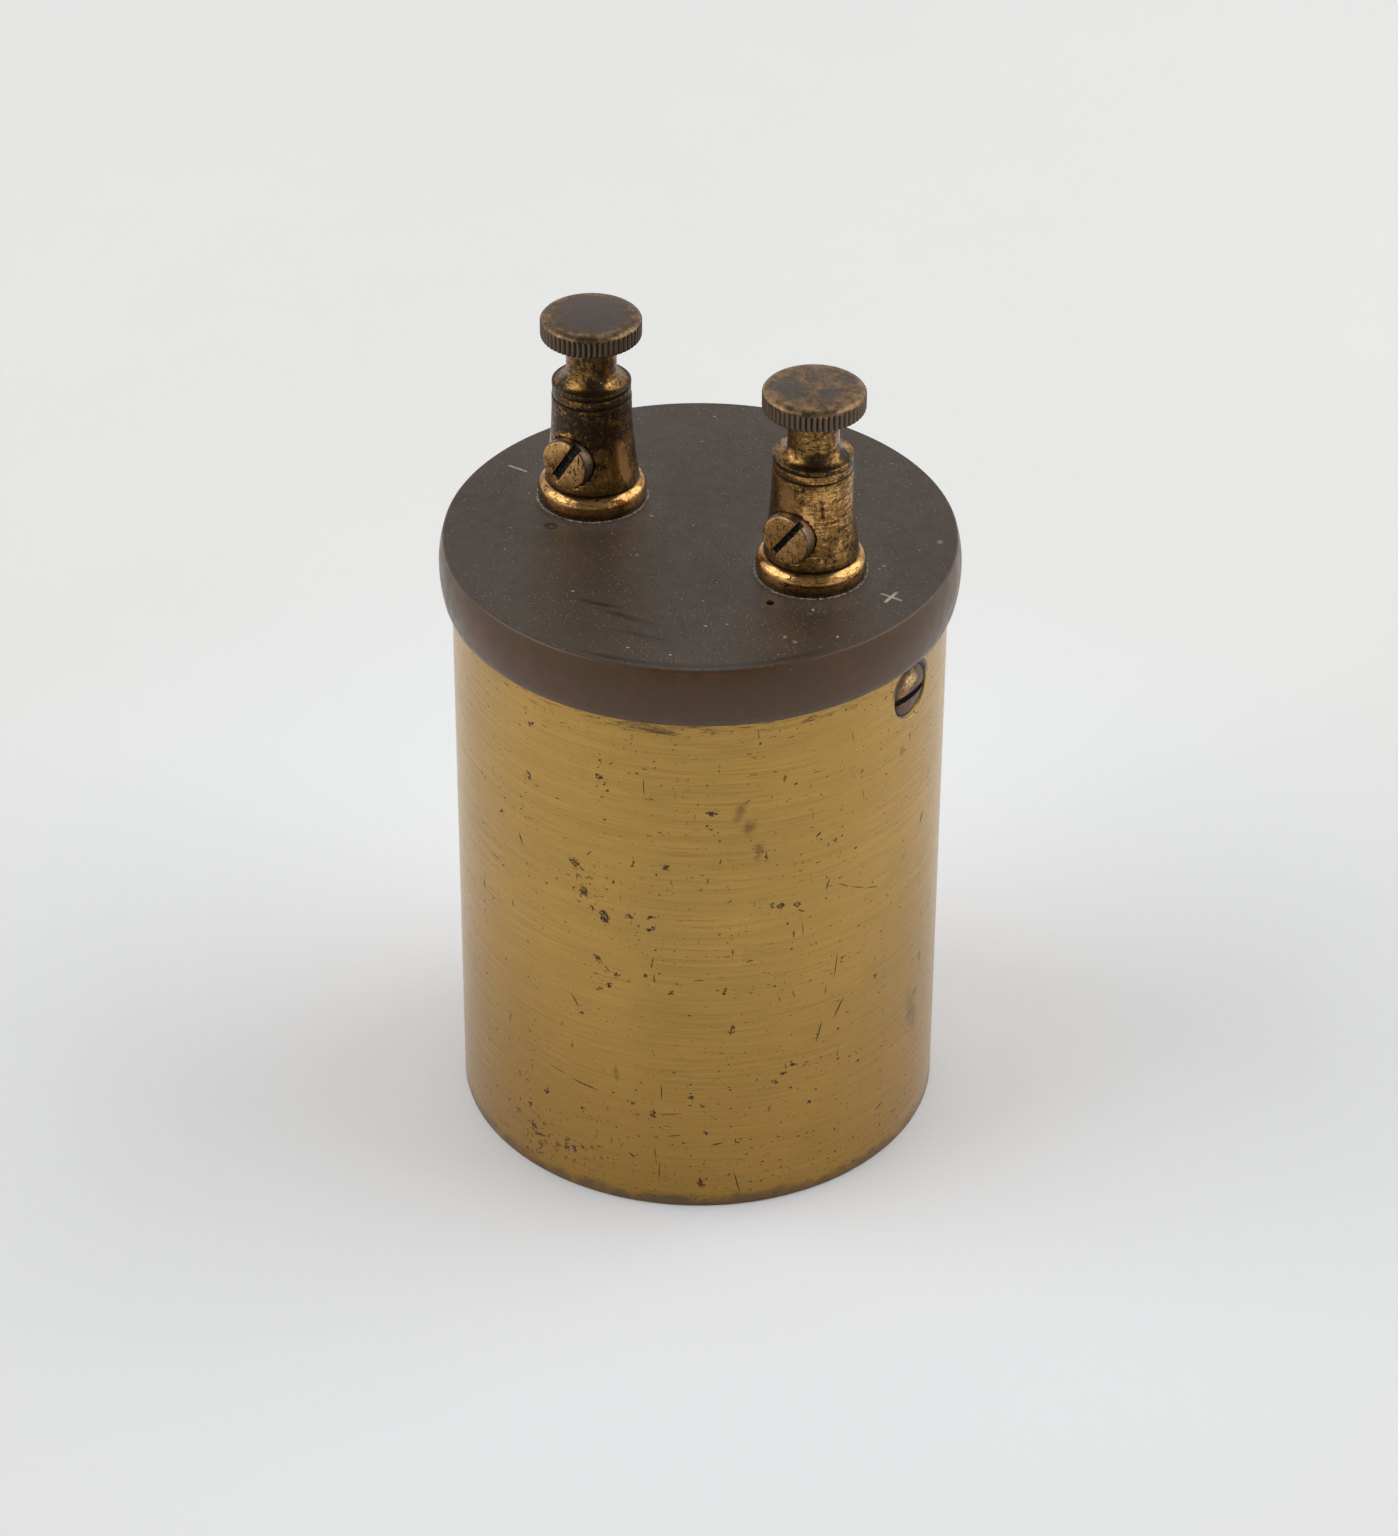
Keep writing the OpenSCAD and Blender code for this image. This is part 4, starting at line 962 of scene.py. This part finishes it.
class CELL_OT_lid(bpy.types.Operator):
    """Model the turned ebonite lid, its small holes and its polarity marks"""

    bl_idname = "cell.lid"
    bl_label = "Ebonite lid"

    def execute(self, context):
        shapes, colours = context.scene.cell_shapes, context.scene.cell_colours
        thick = LID_TOP - CASE_H
        widest, draw_in, lip, brow, fit_gap, rings = 0.56 * thick, 0.6, 0.35, 0.4, 0.1, 16

        def side_r(z):
            far = thick - widest if z > widest else widest
            return LID_R - draw_in * ((z - widest) / far) ** 2

        outline = [(0, LID_LOW.z - CASE_H), (BORE_R - fit_gap, LID_LOW.z - CASE_H), (BORE_R - fit_gap, 0)]
        outline += arc((side_r(0) - lip, lip), lip, 270, 345, 4)
        levels = [lip + (thick - brow - lip) * i / rings for i in range(1, rings + 1)]
        outline += [(side_r(z), z) for z in levels]
        top_r = side_r(thick - brow)
        outline += arc((top_r - brow, thick - brow), brow, 12, 90, 6)
        outline += [(top_r - 1.5, thick), (top_r / 2, thick), (0, thick)]
        piece = turned("ebonite_lid", outline, shapes.turning_steps, lift=CASE_H)
        pocket_r = (POCKET_HIGH.x - POCKET_LOW.x) / 2 - POST_X + 0.45
        deep = shapes.mark_depth / MM
        for side in SIDES.values():
            x = side * POST_X
            cut(
                piece,
                rod(pocket_r, POCKET_HIGH.z - LID_LOW.z + 1, (x, 0, LID_LOW.z - 1)),
                rod(STUD_HOLE_R, LID_TOP, (x, 0, LID_LOW.z)),
                rod(PEG_HOLE_R, 4, (x, PEG_Y, PEG_LOW.z), facets=32),
                block((MARK_LONG, MARK_WIDE, 2 * deep), (side * MARK_X, 0, LID_TOP)))
        cut(piece, block((MARK_WIDE, MARK_LONG, 2 * deep), (MARK_X, 0, LID_TOP)))
        soften(piece, shapes.edge_round / 2)
        dress(piece, ebonite_finish(colours, deep), "cell", "ebonite", "lid")
        return {"FINISHED"}


class CELL_OT_posts(bpy.types.Operator):
    """Model the two binding post columns"""

    bl_idname = "cell.posts"
    bl_label = "Post columns"

    def execute(self, context):
        shapes, colours = context.scene.cell_shapes, context.scene.cell_colours
        height, over = COLUMN_TOP - LID_TOP, FOOT_TOP - LID_TOP
        waist, edge, rings = over + FOOT_LINE, 0.1, 20
        recess_r, recess_long, recess_y = SCREW_R + 0.04, 8, -4.25

        def column_r(z):
            return NECK_TOP_R + (FOOT_R - NECK_TOP_R) * ((height - z) / (height - over)) ** 2

        outline = [(0, 0), (FLANGE_R - edge, 0), (FLANGE_R, edge)]
        outline += [p for p in arc((FLANGE_R - FOOT_BEAD, FOOT_EDGE), FOOT_BEAD, 0, 90, 12) if p[0] > FOOT_R]
        outline += [(FOOT_R - FOOT_LINE, over - edge), (FOOT_R - FOOT_LINE, over + FOOT_LINE / 2)]
        levels = [waist + (height - edge - waist) * i / rings for i in range(rings + 1)]
        outline += [(column_r(z), z) for z in levels]
        outline += [(NECK_TOP_R - edge, height), (0, height)]
        # Each post's shift of the random pattern, streaks, tarnish near the top, and areas
        for name, shift, streaks, bias, areas in (
                ("left", 4.0, 0.0, 0.17, LEFT_POST), ("right", 11.0, 0.14, 0.0, RIGHT_POST)):
            x = SIDES[name] * POST_X
            piece = turned("post_" + name, outline, shapes.turning_steps, x, LID_TOP)
            soften(piece, shapes.edge_round)
            recess = rod(recess_r, recess_long, (x, recess_y, SCREW_Z), (math.pi / 2, 0, 0), facets=128)
            cut(piece, recess)
            soften(piece)
            finish = post_finish(colours, name, shift, streaks, bias, *areas[:2])
            dress(piece, finish, "cell", "post_brass", "post_column_" + name)
        return {"FINISHED"}


class CELL_OT_nuts(bpy.types.Operator):
    """Model the knurled thumb nuts and the loose clamp rings under them"""

    bl_idname = "cell.nuts"
    bl_label = "Thumb nuts and clamp rings"

    def execute(self, context):
        shapes, colours = context.scene.cell_shapes, context.scene.cell_colours
        nut = self.knurled_nut(shapes)
        twin = copied(nut, "thumb_nut_right_head", (2 * POST_X, 0, 0))
        for name, piece, shift, bias, warmth, areas in (
                ("left", nut, 5.0, 0.14, 0.78, LEFT_POST), ("right", twin, 9.0, 0.05, 1.2, RIGHT_POST)):
            finish = nut_finish(colours, name, shift, bias, warmth, *areas[2:])
            dress(piece, finish, name + "_nut", "nut_bronze", "thumb_nut_" + name)

        thick, edge = RING_HIGH.z - RING_LOW.z, 0.1
        outline = [(STUD_HOLE_R, 0), *arc((RING_R - edge, edge), edge, 270, 360, 3)]
        outline += arc((RING_R - edge, thick - edge), edge, 0, 90, 3)
        outline += [(STUD_HOLE_R, thick), (STUD_HOLE_R, 0)]
        for name, bias in (("left", 0.15), ("right", 0.04)):
            x = SIDES[name] * POST_X
            piece = turned("clamp_ring_" + name + "_band", outline, shapes.turning_steps, x, RING_LOW.z)
            soften(piece)
            finish = ring_finish(colours, name, 3.0 + SIDES[name], bias)
            dress(piece, finish, name + "_ring", "post_brass", "clamp_ring_" + name)
        return {"FINISHED"}

    def knurled_nut(self, shapes):
        """The left thumb nut, with its bore, collar, hollow flare, neck and knurled head."""
        height, low = HEAD_FLAT - NUT_Z, HEAD_LOW - NUT_Z
        crown, bore_h = NUT_TOP - HEAD_FLAT, height - 1.7
        collar_r, collar_h, neck_r, hollow = 5.05, 0.65, 3.225, 0.7
        flare, bevel, edge = collar_r - neck_r - 0.1, 0.08, 0.1
        flat_r = HEAD_R - HEAD_ROUND_W
        outline = [(0, bore_h), (STUD_HOLE_R, bore_h), (STUD_HOLE_R, 0)]
        outline += arc((collar_r - edge, edge), edge, 270, 360, 2)
        outline += [(collar_r, collar_h - bevel), (collar_r - bevel, collar_h)]
        outline += arc((neck_r + flare, collar_h + flare), flare, 270, 180, 12)
        outline += arc((neck_r + hollow, low - hollow), hollow, 180, 90, 6)
        outline += [(HEAD_R - 0.35, low), (HEAD_R - 0.12, low + 0.05), (HEAD_R, low + 0.25)]
        outline += [(HEAD_R, low + 0.5 + i * 0.35) for i in range(6)]
        rounding = arc((0, 0), 1, 0, 90, 8)
        outline += [(flat_r + HEAD_ROUND_W * r, height + HEAD_ROUND_H * (z - 1)) for r, z in rounding]
        outline += [(flat_r * s, height + crown * (1 - s * s)) for s in (0.85, 0.6, 0.3, 0)]
        steps_a_ridge = 6
        steps = shapes.knurl_ridges * steps_a_ridge
        nut = turned("thumb_nut_left_head", outline, steps, -POST_X, NUT_Z)
        # Two heights of the head, and the share of the furrow's depth between them
        heights = ((HEAD_LOW + 0.02, HEAD_LOW + 0.1, 0.35), (HEAD_LOW + 0.2, HEAD_EDGE - 0.1, 1.0),
                   (HEAD_EDGE - 0.05, HEAD_EDGE + 0.12, 0.8), (HEAD_EDGE + 0.12, HEAD_EDGE + 0.27, 0.4))
        # The steps of each ridge, and the share of the furrow's depth at each
        for step, share in {1: 0.12, 2: 0.7, 3: 1.0, 4: 0.7, 5: 0.12}.items():
            for z_low, z_high, fade in heights:
                factor = 1 - shapes.knurl_depth / MM * share * fade / HEAD_R
                self.draw_in(nut, steps_a_ridge, step, steps, z_low, z_high, factor)
        soften(nut, 0, 40)
        return nut

    def draw_in(self, nut, every, step, steps, z_low, z_high, factor):
        """Draws one step of every ridge towards the nut's axis, between two heights."""
        take(nut)
        for items in (nut.data.edges, nut.data.polygons):
            for item in items:
                item.select = False
        slack, inner_r = 0.001, HEAD_R - 0.6
        for vertex in nut.data.vertices:
            x, y, z = vertex.co / MM
            x += POST_X
            turn = round(math.atan2(y, x) / math.tau * steps) % every
            level = z_low - slack <= z <= z_high + slack
            vertex.select = turn == step and level and math.hypot(x, y) > inner_r
        bpy.ops.object.mode_set(mode="EDIT")
        bpy.ops.mesh.select_mode(type="VERT")
        bpy.ops.transform.resize(value=(factor, factor, 1), center_override=(-POST_X * MM, 0, 0))
        bpy.ops.object.mode_set(mode="OBJECT")


class CELL_OT_screws(bpy.types.Operator):
    """Model the slotted side screws and lid screws"""

    bl_idname = "cell.screws"
    bl_label = "Screws"

    def execute(self, context):
        shapes, colours = context.scene.cell_shapes, context.scene.cell_colours
        wide, deep = shapes.slot_width / MM, shapes.slot_depth / MM
        head_t, shank_r, shank, round_r, bevel, tip = 1.75, 1.4, 6.4, 0.35, 0.08, 0.2
        outline = [(0, -shank), (shank_r - tip, -shank), (shank_r, -shank + tip), (shank_r, 0)]
        outline += [(SCREW_R - bevel, 0), (SCREW_R, bevel)]
        outline += [*arc((SCREW_R - round_r, head_t - round_r), round_r, 0, 90, 6), (0, head_t)]
        # Each screw's slot angle and share of the slot width, shift of the random pattern and side colour
        for name, angle, share, shift, side in (
                ("left", 58, 1.0, 2.0, (0.085, 0.066, 0.060)), ("right", 54, 0.7, 7.0, (0.15, 0.10, 0.066))):
            piece = self.slotted(
                "wire_screw_" + name + "_head", outline, SCREW_R, share * wide, deep, head_t, angle)
            settle(piece, (SIDES[name] * POST_X, SCREW_FACE + head_t, SCREW_Z), (math.pi / 2, 0, 0))
            finish = side_screw_finish(colours, name, shift, side)
            dress(piece, finish, name + "_screw", "screw_brass", "wire_screw_" + name)

        length, shank_r, share, lean, aside = 8.0, 1.8, 0.8, 2, 0.5
        dome_r = (LID_SCREW_R ** 2 + LID_SCREW_DOME ** 2) / (2 * LID_SCREW_DOME)
        rise = math.degrees(math.asin(LID_SCREW_R / dome_r))
        outline = [(0, -length), (shank_r, -length), (shank_r, shank_r - LID_SCREW_R), (LID_SCREW_R, 0)]
        outline += arc((0, LID_SCREW_DOME - dome_r), dome_r, 90 - rise, 90, 10)[1:]
        pair = []
        for name, side in SIDES.items():
            # Turned on its side, the slot's own length lies level along Y
            piece = self.slotted(
                "lid_screw_" + name, outline, LID_SCREW_R, share * wide, deep, LID_SCREW_DOME,
                90 - lean * side, aside * side)
            foot = (side * (LID_SCREW_OUT - LID_SCREW_DOME), 0, LID_SCREW_Z)
            settle(piece, foot, (0, side * math.pi / 2, 0))
            pair.append(piece)
        take(pair[0])
        pair[1].select_set(True)
        bpy.ops.object.join()
        pair[0].name = pair[0].data.name = "lid_screw_pair"
        dress(pair[0], lid_screw_finish(), "cell", "screw_brass", "lid_screws")
        return {"FINISHED"}

    def slotted(self, name, outline, radius, wide, deep, top, angle, aside=0.0):
        """A turned screw with a driver slot across the top of its head, a little off its middle."""
        piece = turned(name, outline, 128)
        cut(piece, block((4 * radius, wide, 2 * deep), (aside, 0, top), (0, 0, math.radians(angle))))
        soften(piece, SLOT_ROUND * MM)
        return piece


class CELL_OT_inside(bpy.types.Operator):
    """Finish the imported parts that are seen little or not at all"""

    bl_idname = "cell.inside"
    bl_label = "Finishes of the inner parts"

    def execute(self, context):
        brass, drawn = (0.50, 0.31, 0.10), (3.0, 3.0, 0.15)
        # Name, clean colour, dirt, roughness, grain and share of dirt, and the parts that have the finish
        for *looks, parts in (
                ("base", brass, (0.10, 0.06, 0.035), 0.42, (0.1, 2.5, 2.5), 0.12, "base_disc"),
                ("stud", brass, (0.09, 0.055, 0.03), 0.32, (0.3, 0.3, 3.0), 0.1,
                 "nut_studs fixing_studs lid_nuts"),
                ("washer", (0.34, 0.21, 0.08), (0.04, 0.025, 0.018), 0.4, (1.5, 1.5, 1.5), 0.2,
                 "screw_washer_left screw_washer_right"),
                ("tinned", (0.55, 0.54, 0.52), (0.20, 0.19, 0.18), 0.38, (0.4, 2.0, 2.0), 0.12,
                 "lid_washers solder_tags"),
                ("copper", (0.72, 0.30, 0.17), (0.16, 0.07, 0.04), 0.3, drawn, 0.1, "zinc_lead"),
                ("platinum", (0.62, 0.60, 0.57), (0.35, 0.34, 0.33), 0.2, drawn, 0.02, "platinum_lead"),
                ("zinc", (0.50, 0.52, 0.54), (0.24, 0.25, 0.26), 0.4, drawn, 0.2, "zinc_rod"),
                ("mercury", (0.74, 0.75, 0.76), (0.50, 0.51, 0.52), 0.08, (0.2, 0.2, 0.2), 0.0, "mercury")):
            dress_nodes(metal_finish(*looks), parts)
        # Name, dark and light colour, cloud size, roughness, bump, share of spots and plain settings
        for *looks, plain, part in (
                ("wax", (0.60, 0.48, 0.27), (0.78, 0.67, 0.44), 0.2, 0.38, 0.2, 0.0,
                 {"Subsurface_Weight": 0.1}, "wax_packing"),
                ("paste", (0.36, 0.35, 0.32), (0.62, 0.61, 0.57), 0.9, 0.75, 0.15, 0.3, {},
                 "mercurous_paste"),
                ("glue", (0.020, 0.013, 0.009), (0.045, 0.028, 0.016), 0.3, 0.12, 0.25, 0.0,
                 {"Coat_Weight": 0.3}, "glue_seal"),
                ("peg", (0.028, 0.022, 0.017), (0.075, 0.062, 0.048), 1.6, 0.6, 0.08, 0.2, {}, "hole_peg")):
            dress_nodes(clouded_finish(*looks, **plain), part)
        dress_nodes(cork_finish((0.42, 0.24, 0.11)), "cork_pad cork_collar cork_stopper")
        dress_nodes(clear_finish("glass", (0.96, 0.98, 0.96), 1.5, 0.01), "glass_cell glass_sheath")
        dress_nodes(clear_finish("solution", (0.95, 0.97, 0.98), 1.38, 0.0), "zinc_sulphate")
        return {"FINISHED"}


class CELL_OT_stage(bpy.types.Operator):
    """Set the floor, the lights and the camera"""

    bl_idname = "cell.stage"
    bl_label = "Stage"

    def execute(self, context):
        self.lay_floor(context.scene.cell_colours.floor)
        self.light_room(context.scene)
        self.hang_card()
        # Turn from the camera's side, height in degrees, distance and size in metres, watts
        self.add_lamp("left_softbox", -82, 38, 1.15, 1.0, 5.7)
        self.add_lamp("right_softbox", 98, 38, 1.0, 1.0, 4.9)

        bpy.ops.object.camera_add(location=EYE * MM)
        camera = context.object
        camera.data.sensor_width = 36
        camera.data.lens = camera.data.sensor_width * FOCAL / FRAME_H
        turn = Matrix((RIGHT, UP, -AHEAD)).transposed()
        camera.matrix_world = Matrix.Translation(EYE * MM) @ turn.to_4x4()
        camera.data.clip_start, camera.data.clip_end = 0.01, 20
        context.scene.camera = camera
        context.scene.view_settings.view_transform = "Standard"
        return {"FINISHED"}

    def lay_floor(self, tone):
        """A pale floor, painted a little lighter and cooler round the object to soften its shadow."""
        start()
        bpy.ops.mesh.primitive_plane_add(size=6, location=(0, 0, 0))
        floor = bpy.context.object
        floor.name = "floor"
        f = Finish("floor_finish", Roughness=0.9, Specular_IOR_Level=0.2)
        paper = f.noise(f.place, 0.02, 5.0, 0.6).band(0.3, 0.7)
        painted_light_white = (0.91, 0.93, 0.96)
        paper = f.blend(paper, shade(tone, 0.995), shade(tone, 1.005))
        # Painted light: the floor is whiter round the object
        f.feed(Base_Color=f.blend(f.radius.band(160.0, 30.0), paper, painted_light_white))
        floor.data.materials.append(f.material)

    def light_room(self, scene):
        """A pale room, a little darker overhead."""
        world = bpy.data.worlds.new("studio")
        scene.world = world
        world.use_nodes = True
        background = world.node_tree.nodes["Background"]
        room = Graph(world.node_tree)
        height = room.split(room.put("ShaderNodeTexCoord", {}, "Generated"))[2]
        light = room.blend(height.band(0.25, 1.0), (0.80, 0.80, 0.80), (0.65, 0.65, 0.65))
        world.node_tree.links.new(light.socket, background.inputs["Color"])
        background.inputs["Strength"].default_value = 1.0

    def hang_card(self):
        """A dark card that arches from behind the camera to above the object, for the metal to reflect."""
        far, wide, above_floor = 1.6, 1.2, 0.02
        side = Vector((FRONT.y, -FRONT.x, 0))
        start()
        bpy.ops.mesh.primitive_cylinder_add(
            vertices=96, radius=far, depth=2 * wide, end_fill_type="NOTHING",
            rotation=side.to_track_quat("Z", "Y").to_euler())
        card = bpy.context.object
        card.name = "dark_card"
        settle(card)
        down, end = Vector((0, 0, -1)), math.radians(120)
        for turn_off in (down, -FRONT * math.sin(end) - down * math.cos(end)):
            bpy.ops.object.mode_set(mode="EDIT")
            bpy.ops.mesh.select_all(action="SELECT")
            bpy.ops.mesh.bisect(plane_co=(0, 0, above_floor), plane_no=turn_off, clear_outer=True)
            bpy.ops.object.mode_set(mode="OBJECT")
        f = Finish("card_finish", Roughness=1.0, Specular_IOR_Level=0.0)
        across = abs(f.dot(f.place, tuple(side)))
        turned_by = f.math("ARCTAN2", f.z, f.dot(f.place, tuple(FRONT)))
        # The card fades out at its sides and its far end, and is a little thinner near the floor
        cover = across.band(wide / MM, 0.58 * wide / MM) * turned_by.band(end, end - 0.35)
        f.feed(
            Base_Color=f.blend(f.noise(f.place, 0.01).band(0.3, 0.7), (0.04, 0.04, 0.04), (0.05, 0.05, 0.05)),
            Alpha=cover * turned_by.band(0.9, 1.5, 0.72, 0.9))
        card.data.materials.append(f.material)
        card.visible_camera = False

    def add_lamp(self, name, turn, rise, distance, size, power):
        """A square soft light, turned round the object from the camera's side: metres and watts."""
        turn, rise = math.radians(turn), math.radians(rise)
        level = Matrix.Rotation(turn, 3, "Z") @ FRONT
        place = level * math.cos(rise) * distance + Vector((0, 0, math.sin(rise) * distance))
        bpy.ops.object.light_add(type="AREA", location=place)
        lamp = bpy.context.object
        lamp.name = name
        lamp.data.shape = "SQUARE"
        lamp.data.size = size
        lamp.data.energy = power
        lamp.rotation_euler = place.to_track_quat("Z", "Y").to_euler()


class CELL_PT_panel(bpy.types.Panel):
    """Lists the pieces and settings of the standard cell"""

    bl_idname = "CELL_PT_panel"
    bl_label = "Standard Cell"
    bl_space_type = "VIEW_3D"
    bl_region_type = "UI"
    bl_category = "Standard Cell"

    def draw(self, context):
        for operator in OPERATORS:
            self.layout.operator(operator.bl_idname)
        for settings in (context.scene.cell_shapes, context.scene.cell_colours):
            for name in settings.__annotations__:
                self.layout.prop(settings, name)


OPERATORS = (
    CELL_OT_case, CELL_OT_lid, CELL_OT_posts, CELL_OT_nuts, CELL_OT_screws, CELL_OT_inside, CELL_OT_stage)
CLASSES = (CellShapes, CellColours, *OPERATORS, CELL_PT_panel)


def register():
    for item in CLASSES:
        bpy.utils.register_class(item)
    bpy.types.Scene.cell_shapes = PointerProperty(type=CellShapes)
    bpy.types.Scene.cell_colours = PointerProperty(type=CellColours)


def unregister():
    del bpy.types.Scene.cell_colours, bpy.types.Scene.cell_shapes
    for item in reversed(CLASSES):
        bpy.utils.unregister_class(item)


def main():
    register()
    for operator in OPERATORS:
        group, name = operator.bl_idname.split(".")
        getattr(getattr(bpy.ops, group), name)()


if __name__ == "__main__":
    main()
